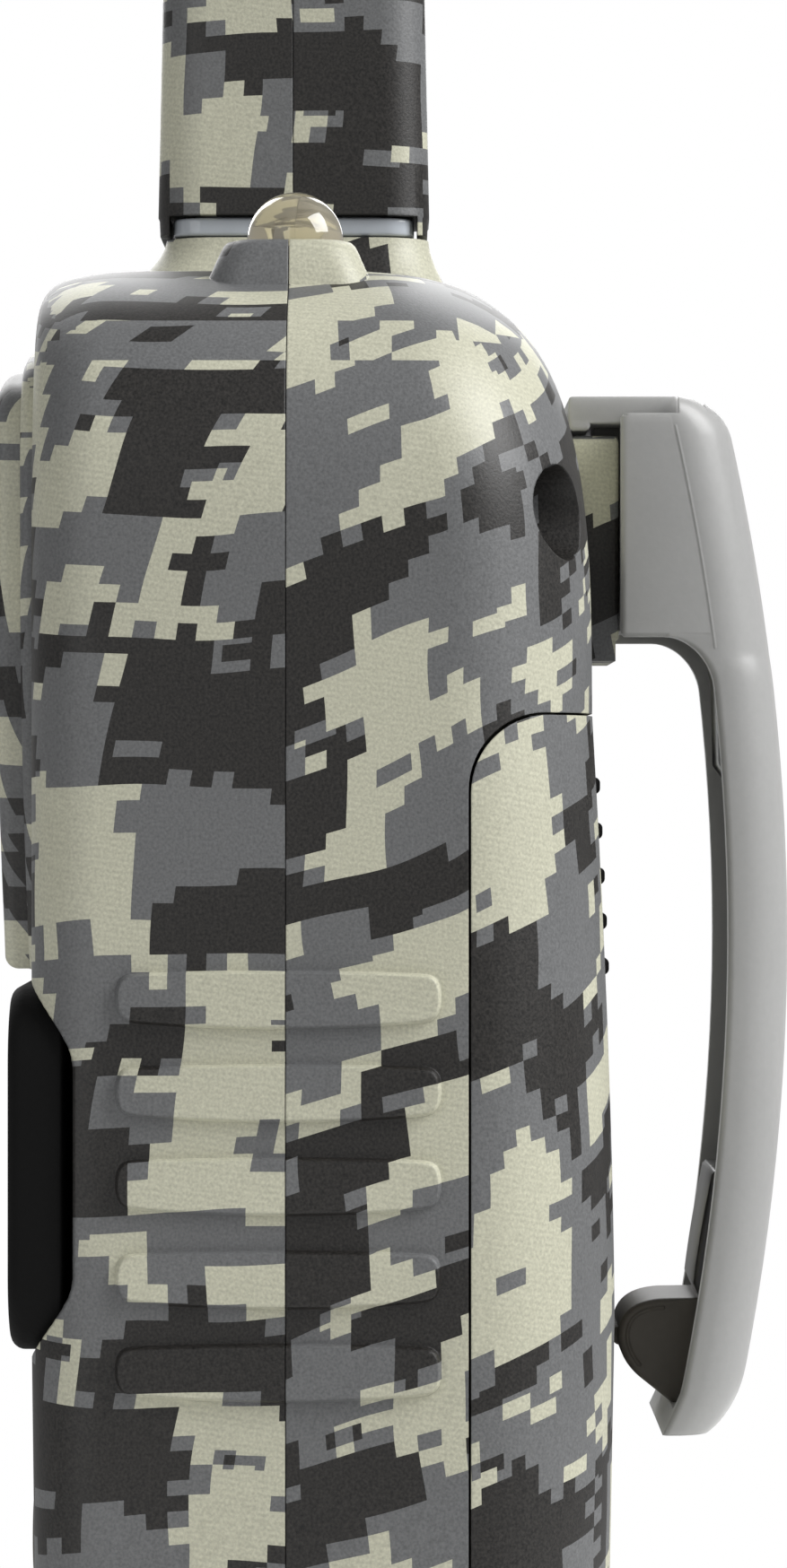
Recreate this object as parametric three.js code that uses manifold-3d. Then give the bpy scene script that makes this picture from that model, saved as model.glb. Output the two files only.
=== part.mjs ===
// A toy walkie talkie: a two-part clamshell with a speaker panel, a wide talk button, a slide-off battery
// cover, a stub antenna beside a clear indicator lamp, and a sprung belt clip that slides off its rail.
// Millimetres. +Z is up, -Y is the front (speaker side), +Y is the back (belt clip side). The origin is the
// middle of the flat base, on the parting plane between the front and rear shells.
import * as THREE from "three";
import { mergeVertices } from "three/addons/utils/BufferGeometryUtils.js";
import Module from "manifold-3d";

const wasm = await Module();
wasm.setup();

// ---- Driving dimensions ----
const HEIGHT = 106.4; // body without the antenna
const HALF_WIDTH = 28;
const FRONT_DEPTH = 14.4; // parting plane to front face
const REAR_DEPTH = 18.8; // parting plane to the fullest part of the back
const WALL = 1.7;
const SEAM = 0.06; // half the gap between mating shells
const FRONT_CORNER = 4; // radius of the front vertical edges
const REAR_CORNER = { x: 12, y: 8.5 }; // the rear vertical edges are part-ellipses
const BASE_ROUND = 3.5;

const COVER_TOP = 79.9; // battery cover: top edge, side seam and the corner between them
const COVER_SEAM_Y = 10.35;
const COVER_CORNER = 4.4;
const COVER_GAP = 0.3;

const PANEL = { top: 101, bottom: 65.2, halfTop: 21, halfBottom: 12, seat: -15.2, face: -16.7 };
const TALK = { z: 54.3, halfX: 27.1, halfZ: 10.3, front: -15.6, back: -12.5, floor: -11.7 };
const CALL = { z: 31, halfX: 6.2, halfZ: 3.6, front: -15.5 };
const SLIDER = { y: -6.5, z: 82, travel: 4 };

const GRIP = { count: 5, topZ: 64.1, pitch: 5.2, height: 3.1, y0: -9.4, y1: 8.6, proud: 0.55 };
const COVER_GRIP = { count: 5, topZ: 75.9, pitch: 2.68, halfX: 8 };

const ANTENNA = { x: -14, y: -0.2, base: 111.3, top: 168.5, width: 12, depth: 16.9, taper: 0.857 };
const NECK_TOP = 109.9;
const LAMP = { x: 14, y: 0.3, r: 2.8, z: 107.6, bossTop: 107.4 };

const RAIL = { halfX: 7, y: 19.4, z0: 84.5, z1: 96.7 };
const CLIP = { halfX: 9.3, rim: 1.5, web: 1.7, edge: 3.4, pinY: 22, pinZ: 91.4, pinR: 1 };
const SCREW = { x: 22.6, upperZ: 91.4, lowerZ: 8.6, recessR: 2.75, headR: 2.3, headY: 8.2, shankR: 1.15 };
const CELL = { r: 5.25, length: 44.5, y: 9.5, pitch: 10.9, z0: 23 };
const BAY = { floorY: 2.4, floor: 1.5, halfX: 17.6, z0: 15.5, z1: 70.6 };
const BOARD = { front: -4.2, back: -3, halfX: 22, z0: 16, z1: 96.6 };

// ---- Solids ----
function solidOf(geometry) {
  const bare = geometry.index ? geometry.toNonIndexed() : geometry.clone();
  for (const name of Object.keys(bare.attributes)) if (name !== "position") bare.deleteAttribute(name);
  const merged = mergeVertices(bare, 1e-4);
  const corners = merged.index.array;
  const triangles = [];
  for (let i = 0; i < corners.length; i += 3) {
    const [a, b, c] = corners.subarray(i, i + 3);
    if (a !== b && b !== c && c !== a) triangles.push(a, b, c);
  }
  return new wasm.Manifold(
    new wasm.Mesh({
      numProp: 3,
      vertProperties: merged.attributes.position.array,
      triVerts: new Uint32Array(triangles),
    }),
  );
}

function geometryOf(solid) {
  const mesh = solid.getMesh();
  const points = new Float32Array(mesh.numVert * 3);
  for (let i = 0; i < mesh.numVert; i++)
    points.set(mesh.vertProperties.subarray(i * mesh.numProp, i * mesh.numProp + 3), i * 3);
  const geometry = new THREE.BufferGeometry();
  geometry.setAttribute("position", new THREE.BufferAttribute(points, 3));
  geometry.setIndex(new THREE.BufferAttribute(new Uint32Array(mesh.triVerts), 1));
  const flat = geometry.toNonIndexed();
  flat.computeVertexNormals();
  return flat;
}

const union = (...parts) => parts.reduce((a, b) => a.add(b));
const cut = (solid, ...tools) => tools.reduce((a, b) => a.subtract(b), solid);

function box(x0, x1, y0, y1, z0, z1) {
  const g = new THREE.BoxGeometry(x1 - x0, y1 - y0, z1 - z0);
  g.translate((x0 + x1) / 2, (y0 + y1) / 2, (z0 + z1) / 2);
  return solidOf(g);
}

// A cylinder or cone from one point to another along an axis letter.
function rod(axis, at, from, to, r0, r1 = r0, sides = 14) {
  const g = new THREE.CylinderGeometry(r1, r0, to - from, sides);
  g.translate(0, (from + to) / 2, 0);
  if (axis === "z") g.rotateX(Math.PI / 2);
  if (axis === "x") g.rotateZ(-Math.PI / 2);
  g.translate(...at);
  return solidOf(g);
}

// Joins equal rings of points, lowest first, into one closed solid.
function loft(rings) {
  const n = rings[0].length;
  const points = [];
  const middle = (ring) => ring.reduce((a, p) => a.add(p), new THREE.Vector3()).divideScalar(n);
  const tri = (a, b, c) => points.push(a.x, a.y, a.z, b.x, b.y, b.z, c.x, c.y, c.z);
  const low = middle(rings[0]);
  const high = middle(rings.at(-1));
  for (let i = 0; i < n; i++) {
    const j = (i + 1) % n;
    tri(low, rings[0][j], rings[0][i]);
    tri(high, rings.at(-1)[i], rings.at(-1)[j]);
    for (let k = 0; k + 1 < rings.length; k++) {
      tri(rings[k][i], rings[k][j], rings[k + 1][j]);
      tri(rings[k][i], rings[k + 1][j], rings[k + 1][i]);
    }
  }
  const g = new THREE.BufferGeometry();
  g.setAttribute("position", new THREE.Float32BufferAttribute(points, 3));
  return solidOf(g);
}

// A ring at height z with four part-ellipse corners, each { x, y } in size, anticlockwise from above.
function ring(z, cx, x, yFront, yRear, front, rear, steps) {
  const corners = [
    [cx + x - rear.x, yRear - rear.y, rear, 0],
    [cx - x + rear.x, yRear - rear.y, rear, 1],
    [cx - x + front.x, yFront + front.y, front, 2],
    [cx + x - front.x, yFront + front.y, front, 3],
  ];
  return corners.flatMap(([ox, oy, size, quarter]) =>
    Array.from({ length: steps + 1 }, (_, i) => {
      const a = (quarter + i / steps) * (Math.PI / 2);
      return new THREE.Vector3(ox + size.x * Math.cos(a), oy + size.y * Math.sin(a), z);
    }),
  );
}

// An outline in the plane of two axes, pushed along the third: "y" takes (x, z) and "x" takes (y, z).
function extrude(shape, axis, from, to, bevel = 0, curveSegments = 5) {
  const g = new THREE.ExtrudeGeometry(shape, {
    depth: to - from - 2 * bevel,
    bevelEnabled: bevel > 0,
    bevelThickness: bevel,
    bevelSize: bevel,
    bevelOffset: -bevel,
    bevelSegments: 1,
    curveSegments,
  });
  g.translate(0, 0, from + bevel);
  const along = new THREE.Matrix4();
  if (axis === "x") along.set(0, 0, 1, 0, 1, 0, 0, 0, 0, 1, 0, 0, 0, 0, 0, 1);
  else along.set(1, 0, 0, 0, 0, 0, -1, 0, 0, 1, 0, 0, 0, 0, 0, 1);
  g.applyMatrix4(along);
  return solidOf(g);
}
// extrude(..., "y", from, to) runs towards -Y, so its distances are minus the Y coordinates.
const extrudeY = (shape, yNear, yFar, bevel, curve) => extrude(shape, "y", -yNear, -yFar, bevel, curve);

function roundRect(halfX, halfZ, radius, x = 0, z = 0) {
  const s = new THREE.Shape();
  s.moveTo(x - halfX + radius, z - halfZ);
  s.lineTo(x + halfX - radius, z - halfZ);
  s.absarc(x + halfX - radius, z - halfZ + radius, radius, -Math.PI / 2, 0);
  s.lineTo(x + halfX, z + halfZ - radius);
  s.absarc(x + halfX - radius, z + halfZ - radius, radius, 0, Math.PI / 2);
  s.lineTo(x - halfX + radius, z + halfZ);
  s.absarc(x - halfX + radius, z + halfZ - radius, radius, Math.PI / 2, Math.PI);
  s.lineTo(x - halfX, z - halfZ + radius);
  s.absarc(x - halfX + radius, z - halfZ + radius, radius, Math.PI, 1.5 * Math.PI);
  return s;
}

// ---- Body form ----
// A width that falls away towards the top as a superellipse between two heights.
function falloff(z, start, power) {
  const t = Math.min(Math.max((z - start) / (HEIGHT - start), 0), 1);
  return (1 - t ** power) ** (1 / power);
}

// Half-width, front depth and rear depth of the body's outside at a height.
function bodyAt(z) {
  const low = Math.max(0, 1 - z / 45);
  const up = Math.max(0, (z - 45) / 35);
  const t = Math.max(0, 1 - z / BASE_ROUND);
  const inset = BASE_ROUND * (1 - Math.sqrt(1 - t * t));
  return {
    w: (HALF_WIDTH - low) * falloff(z, 88, 3.2) - inset,
    f: (FRONT_DEPTH - 0.5 * low) * falloff(z, 99, 6) - inset,
    r: (REAR_DEPTH - 0.8 * low - 1.3 * Math.min(up, 1) ** 1.6) * falloff(z, 78, 3.5) - inset,
  };
}

const BODY_LEVELS = [0, 0.6, 3.5, 45, 66, 80, 88, 93, 97, 100, 102.4, 104.4, 106.1];

// The body as a solid, shrunk all round by inset.
function bodySolid(inset = 0) {
  const shrink = (HEIGHT - 2 * inset) / HEIGHT;
  return loft(
    BODY_LEVELS.map((z) => {
      const { w, f, r } = bodyAt(z);
      const front = { x: Math.min(FRONT_CORNER, w / 2), y: Math.min(FRONT_CORNER, f / 2) };
      const rear = { x: Math.min(REAR_CORNER.x, w * 0.55), y: Math.min(REAR_CORNER.y, r * 0.55) };
      const less = (size) => ({ x: Math.max(size.x - inset, 0.4), y: Math.max(size.y - inset, 0.4) });
      const up = inset + z * shrink;
      return ring(up, 0, w - inset, inset - f, r - inset, less(front), less(rear), 4);
    }),
  );
}

const outer = bodySolid();
const inner = bodySolid(WALL);

// ---- Outlines shared by pieces that meet ----
// The shield of the speaker panel, grown outwards.
function shield(grow = 0) {
  const { top, bottom, halfTop, halfBottom } = PANEL;
  const side = halfTop + grow;
  const s = new THREE.Shape();
  s.moveTo(-halfBottom - grow, bottom - grow);
  s.lineTo(halfBottom + grow, bottom - grow);
  s.quadraticCurveTo(side, bottom + 12, side, bottom + 24);
  s.lineTo(side, top - 6);
  s.quadraticCurveTo(side, top - 2 + grow, side - 4, top - 1.4 + grow);
  s.quadraticCurveTo(0, top + 0.6 + grow, 4 - side, top - 1.4 + grow);
  s.quadraticCurveTo(-side, top - 2 + grow, -side, top - 6);
  s.lineTo(-side, bottom + 24);
  s.quadraticCurveTo(-side, bottom + 12, -halfBottom - grow, bottom - grow);
  return s;
}

const talkOutline = (grow) => roundRect(TALK.halfX + grow, TALK.halfZ + grow, 6.8, 0, TALK.z);
const callOutline = (grow) => {
  const height = CALL.halfZ + grow;
  return roundRect(CALL.halfX + grow, height, height - 0.05, 0, CALL.z);
};

// The side view of the battery cover's share of the body, grown outwards.
function coverZone(grow = 0) {
  const s = new THREE.Shape();
  const y = COVER_SEAM_Y - grow;
  const top = COVER_TOP + grow;
  s.moveTo(y, -2);
  s.lineTo(REAR_DEPTH + 6, -2);
  s.lineTo(REAR_DEPTH + 6, top);
  s.lineTo(y + COVER_CORNER, top);
  s.absarc(y + COVER_CORNER, top - COVER_CORNER, COVER_CORNER, Math.PI / 2, Math.PI);
  s.lineTo(y, -2);
  return extrude(s, "x", -HALF_WIDTH - 3, HALF_WIDTH + 3, 0, 10);
}

// ---- Casing ----
// A tab under the front shell reaches across the parting plane into a notch in the rear shell's base.
const baseTab = (grow) => box(-6 - grow, 6 + grow, -1, 4 + grow, -grow, WALL + grow);

const gripSet = (() => {
  const bars = [];
  for (let i = 0; i < GRIP.count; i++) {
    const z = GRIP.topZ - i * GRIP.pitch;
    const s = roundRect((GRIP.y1 - GRIP.y0) / 2, GRIP.height / 2, 0.8, (GRIP.y0 + GRIP.y1) / 2, z);
    for (const side of [-1, 1]) {
      const reach = [side * (HALF_WIDTH - 1), side * (HALF_WIDTH + GRIP.proud)].sort((a, b) => a - b);
      bars.push(extrude(s, "x", ...reach, 0.35, 2));
    }
  }
  return union(...bars);
})();

// The flared root that carries the antenna, and the stand the lamp looks out of.
const neck = (() => {
  const at = (z, x, y0, y1) => ring(z, ANTENNA.x, x, y0, y1, { x: 3, y: 3.2 }, { x: 3, y: 3.2 }, 3);
  return loft([
    at(99, 7.4, -10.4, 9.8),
    at(104.6, 7.4, -10.4, 9.8),
    at(106.4, 6.9, -9.6, 9),
    at(107.8, 6.3, -8.7, 8.5),
    at(NECK_TOP, 5.9, -8.1, 8.2),
  ]);
})();
const SOFT_CORNER = { x: 2, y: 2 };
const NECK_BORE = { x: 4.6, y: 6.9 };
const neckBore = (() => {
  const [y0, y1] = [ANTENNA.y - NECK_BORE.y, ANTENNA.y + NECK_BORE.y];
  const at = (z) => ring(z, ANTENNA.x, NECK_BORE.x, y0, y1, SOFT_CORNER, SOFT_CORNER, 2);
  return loft([at(96), at(112)]);
})();
const lampStand = (() => {
  const at = (z, x, y0, y1) => ring(z, LAMP.x, x, y0, y1, SOFT_CORNER, SOFT_CORNER, 3);
  return loft([at(100, 4.5, -4.7, 4.7), at(104.6, 4.5, -4.7, 4.7), at(LAMP.bossTop, 3.4, -3.75, 3.85)]);
})();
const lampBore = rod("z", [LAMP.x, LAMP.y, 0], 98, 112, LAMP.r + 0.15);

const whole = union(outer, neck, lampStand, gripSet);
const hollow = cut(inner, cut(neck, neckBore), cut(lampStand, lampBore));
const skin = cut(whole, hollow, neckBore, lampBore);

const SCREWS = [SCREW.upperZ, SCREW.lowerZ].flatMap((z) => [-SCREW.x, SCREW.x].map((x) => ({ x, z })));

const frontShell = (() => {
  const half = box(-40, 40, -30, -SEAM, -5, 115);
  const plinth = extrudeY(shield(1.3), -12.9, PANEL.seat, 0);
  const talkWeb = extrudeY(talkOutline(1.4), TALK.floor + WALL, TALK.floor).intersect(outer);
  const posts = SCREWS.map(({ x, z }) => rod("y", [x, 0, z], -FRONT_DEPTH + 1, -0.3, 3));
  const pilotR = SCREW.shankR + 0.15;
  const pilots = SCREWS.map(({ x, z }) => rod("y", [x, 0, z], -9, 5, pilotR, pilotR, 10));
  const speakerHole = rod("y", [0, 0, 83], -20, -10, 12, 12, 20);
  const talkHoles = [-14, 0, 14].map((x) => rod("y", [x, 0, TALK.z], -13, -9, 2.4));
  const micHoles = [-3, 0, 3].map((x) => extrudeY(roundRect(0.6, 1.6, 0.55, x, 19), -10, -20, 0, 2));
  const slot = box(-40, -20, SLIDER.y - 1.7, SLIDER.y + 1.7, SLIDER.z - 4.6, SLIDER.z + 4.6);
  const kept = union(skin.intersect(half), plinth, talkWeb, baseTab(0), ...posts);
  return cut(
    kept,
    extrudeY(shield(0.25), -13.8, -20),
    extrudeY(talkOutline(0.6), TALK.floor, -20),
    extrudeY(callOutline(0.25), -5, -20),
    speakerHole,
    slot,
    ...pilots,
    ...talkHoles,
    ...micHoles,
  );
})();

const railSlot = union(
  box(-3, 3, RAIL.y - 1.2, RAIL.y + 1, RAIL.z0 + 1.2, RAIL.z1 + 3),
  box(-4.8, 4.8, RAIL.y - 2.2, RAIL.y - 1.1, RAIL.z0 + 1.2, RAIL.z1 + 3),
);

const rearShell = (() => {
  const half = box(-40, 40, SEAM, 30, -5, 115);
  const bayFloor = box(-30, 30, BAY.floorY, BAY.floorY + BAY.floor, 1, COVER_TOP - 0.4);
  const bayRoof = box(-30, 30, BAY.floorY, COVER_SEAM_Y - 0.4, COVER_TOP - 1.9, COVER_TOP - 0.4);
  const roofLip = box(-30, 30, BAY.floorY, 30, COVER_TOP + 0.4, COVER_TOP + 1.9);
  const joined = union(bayFloor, bayRoof, roofLip).intersect(bodySolid(WALL - 0.4));
  const roofBlock = box(-30, 30, BAY.floorY, 30, COVER_TOP - 1.9, COVER_TOP + 0.5);
  const roofStep = roofBlock.intersect(bodySolid(WALL + 0.4));
  const bayWalls = [-1, 1].map((side) => {
    const [a, b] = [side * BAY.halfX, side * (BAY.halfX - 1.2)].sort((p, q) => p - q);
    return box(a, b, BAY.floorY + 1, 12, BAY.z0, BAY.z1);
  });
  const bayEnd = (z) => box(-BAY.halfX, BAY.halfX, BAY.floorY + 1, 13, z, z + 1.3);
  const bayEnds = [BAY.z0, BAY.z1 - 1.3].map(bayEnd);
  const upperPost = (side) => rod("y", [side * SCREW.x, 0, SCREW.upperZ], 0.3, 25, 3.9, 3.9, 16);
  const upperPosts = [-1, 1].map(upperPost);
  const lowerPosts = [-1, 1].map((side) => rod("y", [side * SCREW.x, 0, SCREW.lowerZ], 0.3, 3, 3));
  const rail = box(-RAIL.halfX, RAIL.halfX, 14, RAIL.y, RAIL.z0, RAIL.z1);
  const railFoot = box(-RAIL.halfX, RAIL.halfX, 14, RAIL.y - 0.2, RAIL.z0 - 1.2, RAIL.z0 + 0.2);
  const case_ = cut(skin.intersect(half), coverZone(COVER_GAP));
  const added = union(case_, joined, roofStep, ...bayWalls, ...bayEnds, ...lowerPosts, rail, railFoot);
  const posted = union(added, union(...upperPosts).intersect(outer));
  const holeR = SCREW.shankR + 0.2;
  const holes = SCREWS.map(({ x, z }) => rod("y", [x, 0, z], -2, 20, holeR, holeR, 10));
  const recesses = [-1, 1].map((side) =>
    rod("y", [side * SCREW.x, 0, SCREW.upperZ], SCREW.headY - 1.7, 30, SCREW.recessR, SCREW.recessR, 18),
  );
  return cut(posted, railSlot, baseTab(0.3), ...holes, ...recesses);
})();

const coverRecess = (grow) => {
  const z1 = COVER_GRIP.topZ + 1.6 + grow;
  const z0 = COVER_GRIP.topZ - (COVER_GRIP.count - 1) * COVER_GRIP.pitch - 1.6 - grow;
  return extrudeY(roundRect(COVER_GRIP.halfX + grow, (z1 - z0) / 2, 1.2, 0, (z0 + z1) / 2), 40, 5, 0, 3);
};
// The back of the body at a depth below its surface, for pieces let into it.
const backLayer = (from, to) => cut(bodySolid(from), bodySolid(to)).intersect(box(-16, 16, 14, 30, 0, 100));

const batteryCover = cut(cut(outer, inner).intersect(coverZone()), cut(coverRecess(0.12), bodySolid(0.75)));

const coverGrip = (() => {
  const strip = backLayer(0.12, 0.65).intersect(coverRecess(-0.05));
  const ridges = Array.from({ length: COVER_GRIP.count }, (_, i) => {
    const z = COVER_GRIP.topZ - i * COVER_GRIP.pitch;
    const y = bodyAt(z).r;
    return rod("x", [0, y - 0.05, z], -COVER_GRIP.halfX + 0.6, COVER_GRIP.halfX - 0.6, 0.5, 0.5, 8);
  });
  return union(strip, ...ridges);
})();

const speakerPanel = (() => {
  const slots = Array.from({ length: 7 }, (_, i) => {
    const dz = (i - 3) * 3.2;
    return extrudeY(roundRect(Math.sqrt(12.5 ** 2 - dz ** 2), 0.8, 0.75, 0, 83 + dz), -10, -20, 0, 2);
  });
  const blank = extrudeY(shield(0), -13.85, PANEL.face, 0.7);
  return cut(blank, ...slots);
})();

// ---- Controls ----
const STEM = { x: 14, r: 2, back: -8.2 };
const talkButton = union(
  extrudeY(talkOutline(0), TALK.back, TALK.front, 0.5),
  ...[-STEM.x, STEM.x].map((x) => rod("y", [x, 0, TALK.z], TALK.back - 0.1, STEM.back, STEM.r)),
  rod("y", [0, 0, TALK.z], TALK.back - 0.1, -9.6, STEM.r),
);
const stemClip = (side) =>
  cut(
    rod("y", [side * STEM.x, 0, TALK.z], -9.85, -9.1, 3.3),
    rod("y", [side * STEM.x, 0, TALK.z], -11, -8, STEM.r + 0.08),
  );
const callButton = union(
  extrudeY(callOutline(0), -12.2, CALL.front, 0.4),
  extrudeY(callOutline(1), -11.5, -12.4),
  rod("y", [0, 0, CALL.z], -11.6, -9.6, 1.5, 1.5, 12),
);
const SLIDER_REST = SLIDER.z - SLIDER.travel / 2;
const powerSlider = (() => {
  const part = (x0, x1, halfY, halfZ) =>
    box(x0, x1, SLIDER.y - halfY, SLIDER.y + halfY, SLIDER_REST - halfZ, SLIDER_REST + halfZ);
  const ridge = (dz) => rod("y", [-29.1, 0, SLIDER_REST + dz], -8.5, -4.5, 0.35, 0.35, 6);
  const ridges = [-1.6, 0, 1.6].map(ridge);
  const cap = part(-29.1, -28.2, 2.2, 2.7);
  const neckPart = part(-28.3, -26, 1.45, 2);
  return union(cap, neckPart, part(-26, -25.2, 2.6, 4.4), ...ridges);
})();

// ---- Inside ----
const circuitBoard = (() => {
  const middle = (BOARD.z0 + BOARD.z1) / 2;
  const outline = roundRect(BOARD.halfX, (BOARD.z1 - BOARD.z0) / 2, 2, 0, middle);
  const clearances = [-1, 1].map((side) => rod("y", [side * SCREW.x, 0, SCREW.upperZ], -10, 0, 3.5, 3.5, 16));
  return cut(extrudeY(outline, BOARD.back, BOARD.front, 0, 2), ...clearances);
})();
const onBoard = (halfX, halfZ, x, z, tall, bevel = 0.2) =>
  extrudeY(roundRect(halfX, halfZ, 0.6, x, z), BOARD.front - 0.05, BOARD.front - tall, bevel, 2);
const radioCan = onBoard(7.5, 9, 12.5, 34, 2.4);
const audioChip = onBoard(4.2, 4.2, -11, 38, 1.5);
const capacitor = rod("y", [-12, 0, 27], BOARD.front - 5.5, BOARD.front - 0.05, 2.6, 2.6, 16);
const pushSwitch = (z) =>
  union(onBoard(3, 3, 0, z, 3.1), rod("y", [0, 0, z], -8.9, BOARD.front - 3, 1.6, 1.6, 12));
const slideSwitch = box(-24.8, -20.6, SLIDER.y - 2.5, BOARD.front - 0.05, SLIDER.z - 5, SLIDER.z + 3.8);
const microphone = rod("y", [0, 0, 19], -12.1, -9.8, 3, 3, 16);

// A turned piece about the front-to-back direction at height z, from [radius, y] pairs.
function turned(profile, z, segments = 18) {
  const g = new THREE.LatheGeometry(
    profile.map(([r, y]) => new THREE.Vector2(r, y)),
    segments,
  );
  return solidOf(g.translate(0, 0, z));
}
const SPEAKER_Z = 83;
const speakerFrame = turned(
  [
    [0, -9.7],
    [7, -9.7],
    [12.4, -11.9],
    [12.6, -12.5],
    [14, -12.5],
    [14, -11.7],
    [13.2, -11.7],
    [7.6, -9.2],
    [7, -7],
    [0, -7],
  ],
  SPEAKER_Z,
);
const speakerCone = turned(
  [
    [0, -11.8],
    [3.2, -11.2],
    [4, -10.45],
    [6.2, -10.45],
    [11.6, -12.5],
    [12.2, -12.5],
    [12.1, -12.05],
    [6.7, -9.95],
    [0, -9.95],
  ],
  SPEAKER_Z,
);
const speakerMagnet = rod("y", [0, 0, SPEAKER_Z], -6.9, BOARD.front - 0.1, 6.5, 6.5, 18);

// ---- Batteries ----
const cellX = [-1, 0, 1].map((i) => i * CELL.pitch);
const battery = (x) => {
  const top = CELL.z0 + CELL.length;
  return union(
    rod("z", [x, CELL.y, 0], CELL.z0, top - 0.9, CELL.r, CELL.r, 18),
    rod("z", [x, CELL.y, 0], top - 1, top, 1.9, 1.9, 10),
  );
};

// A round wire along a curve, with closed ends.
function wire(curve, radius, steps, sides = 4) {
  const s = new THREE.Shape();
  for (let i = 0; i <= sides; i++) {
    const a = (i / sides) * 2 * Math.PI;
    const at = [radius * Math.cos(a), radius * Math.sin(a)];
    if (i) s.lineTo(...at);
    else s.moveTo(...at);
  }
  return solidOf(new THREE.ExtrudeGeometry(s, { steps, extrudePath: curve, bevelEnabled: false }));
}

class Coil extends THREE.Curve {
  constructor(r0, r1, turns, length) {
    super();
    Object.assign(this, { r0, r1, turns, length });
  }
  getPoint(t) {
    const a = t * this.turns * 2 * Math.PI;
    const r = this.r0 + (this.r1 - this.r0) * t;
    return new THREE.Vector3(r * Math.cos(a), r * Math.sin(a), t * this.length);
  }
}

const CONTACT_Z = BAY.z0 + 1.45;
const batterySpring = (x) =>
  union(
    box(x - 4, x + 4, CELL.y - 3.6, 12.6, CONTACT_Z, CONTACT_Z + 0.35),
    wire(new Coil(3.1, 1.8, 3, CELL.z0 - CONTACT_Z - 0.9), 0.35, 26).translate([x, CELL.y, CONTACT_Z + 0.4]),
  );
const contactStrip = (() => {
  const z = CELL.z0 + CELL.length + 0.15;
  const plate = box(-15.5, 15.5, CELL.y - 3.5, CELL.y + 3, z + 0.9, z + 1.3);
  return union(plate, ...cellX.map((x) => rod("z", [x, CELL.y, 0], z, z + 1, 1.2, 1.8, 10)));
})();

// ---- Antenna and lamp ----
const antennaRing = (z, inset, low = 0) => {
  const t = (z - ANTENNA.base) / (ANTENNA.top - ANTENNA.base);
  const k = 1 - (1 - ANTENNA.taper) * Math.max(t, 0);
  const corner = { x: Math.max(2.6 * k - inset, 0.5), y: Math.max(3 * k - inset, 0.5) };
  const x = (ANTENNA.width / 2) * k - inset - low;
  const y = (ANTENNA.depth / 2) * k - inset - low;
  return ring(z, ANTENNA.x, x, ANTENNA.y - y, ANTENNA.y + y, corner, corner, 3);
};
const antennaShell = (() => {
  const { base, top } = ANTENNA;
  const body = loft([
    antennaRing(base - 1.15, 0.1),
    antennaRing(base, 0),
    antennaRing(top - 2.6, 0),
    antennaRing(top - 1.1, 0, 0.6),
    antennaRing(top - 0.3, 0, 1.5),
    antennaRing(top, 0, 2.4),
  ]);
  const void_ = loft([antennaRing(base - 2, 1.5), antennaRing(top - 3.2, 1.5)]);
  const waist = box(-40, 10, ANTENNA.y - 7.7, ANTENNA.y + 7.7, base - 3, base);
  return cut(body, void_, waist);
})();
const antennaFront = antennaShell.intersect(box(-40, 10, -30, ANTENNA.y - SEAM, 100, 180));
const antennaRear = antennaShell.intersect(box(-40, 10, ANTENNA.y + SEAM, 30, 100, 180));
const antennaCollar = (() => {
  const block = (z0, z1, x, y) => {
    const corner = { x: 1.8, y: 1.8 };
    const at = (z) => ring(z, ANTENNA.x, x, ANTENNA.y - y, ANTENNA.y + y, corner, corner, 2);
    return loft([at(z0), at(z1)]);
  };
  const base = ANTENNA.base;
  return union(
    block(97.4, 98.7, 5.8, 8.2),
    block(98.6, NECK_TOP + 0.2, 4.4, 6.7),
    block(NECK_TOP + 0.15, base - 0.15, 5.5, 7.5),
    block(base - 0.2, base + 9, 3.9, 6.3),
  );
})();
const coilFoot = [ANTENNA.x, ANTENNA.y, ANTENNA.base + 9.8];
const antennaCoil = wire(new Coil(2.5, 2.5, 6, 40), 0.45, 54).translate(coilFoot);

const lamp = (() => {
  const { x, y, r, z } = LAMP;
  const dome = Array.from({ length: 5 }, (_, i) => [i / 4, (i / 4) * (Math.PI / 2)]);
  const profile = [
    [0, 98.9],
    [3.6, 98.9],
    [3.6, 99.8],
    [r, 99.8],
    ...dome.map(([t, a]) => [t === 1 ? 0 : r * Math.cos(a), z + r * Math.sin(a)]),
  ];
  const g = new THREE.LatheGeometry(
    profile.map(([px, py]) => new THREE.Vector2(px, py)),
    16,
  );
  return solidOf(g.rotateX(Math.PI / 2).translate(x, y, 0));
})();

// ---- Belt clip ----
// The arm bows outwards, and its outer face is a parabola about its fullest height.
const BOW = { y: 29.5, z: 67, spread: 265, depth: 3.65 };
const ARM_LEVELS = [37.1, 38, 41, 48, 55, 63, 72, 79, 82, 83.4, 84.7, 90, 94.5, 97.6, 98.6, 99];
const armOuter = (z) => BOW.y - (z - BOW.z) ** 2 / BOW.spread;
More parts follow.
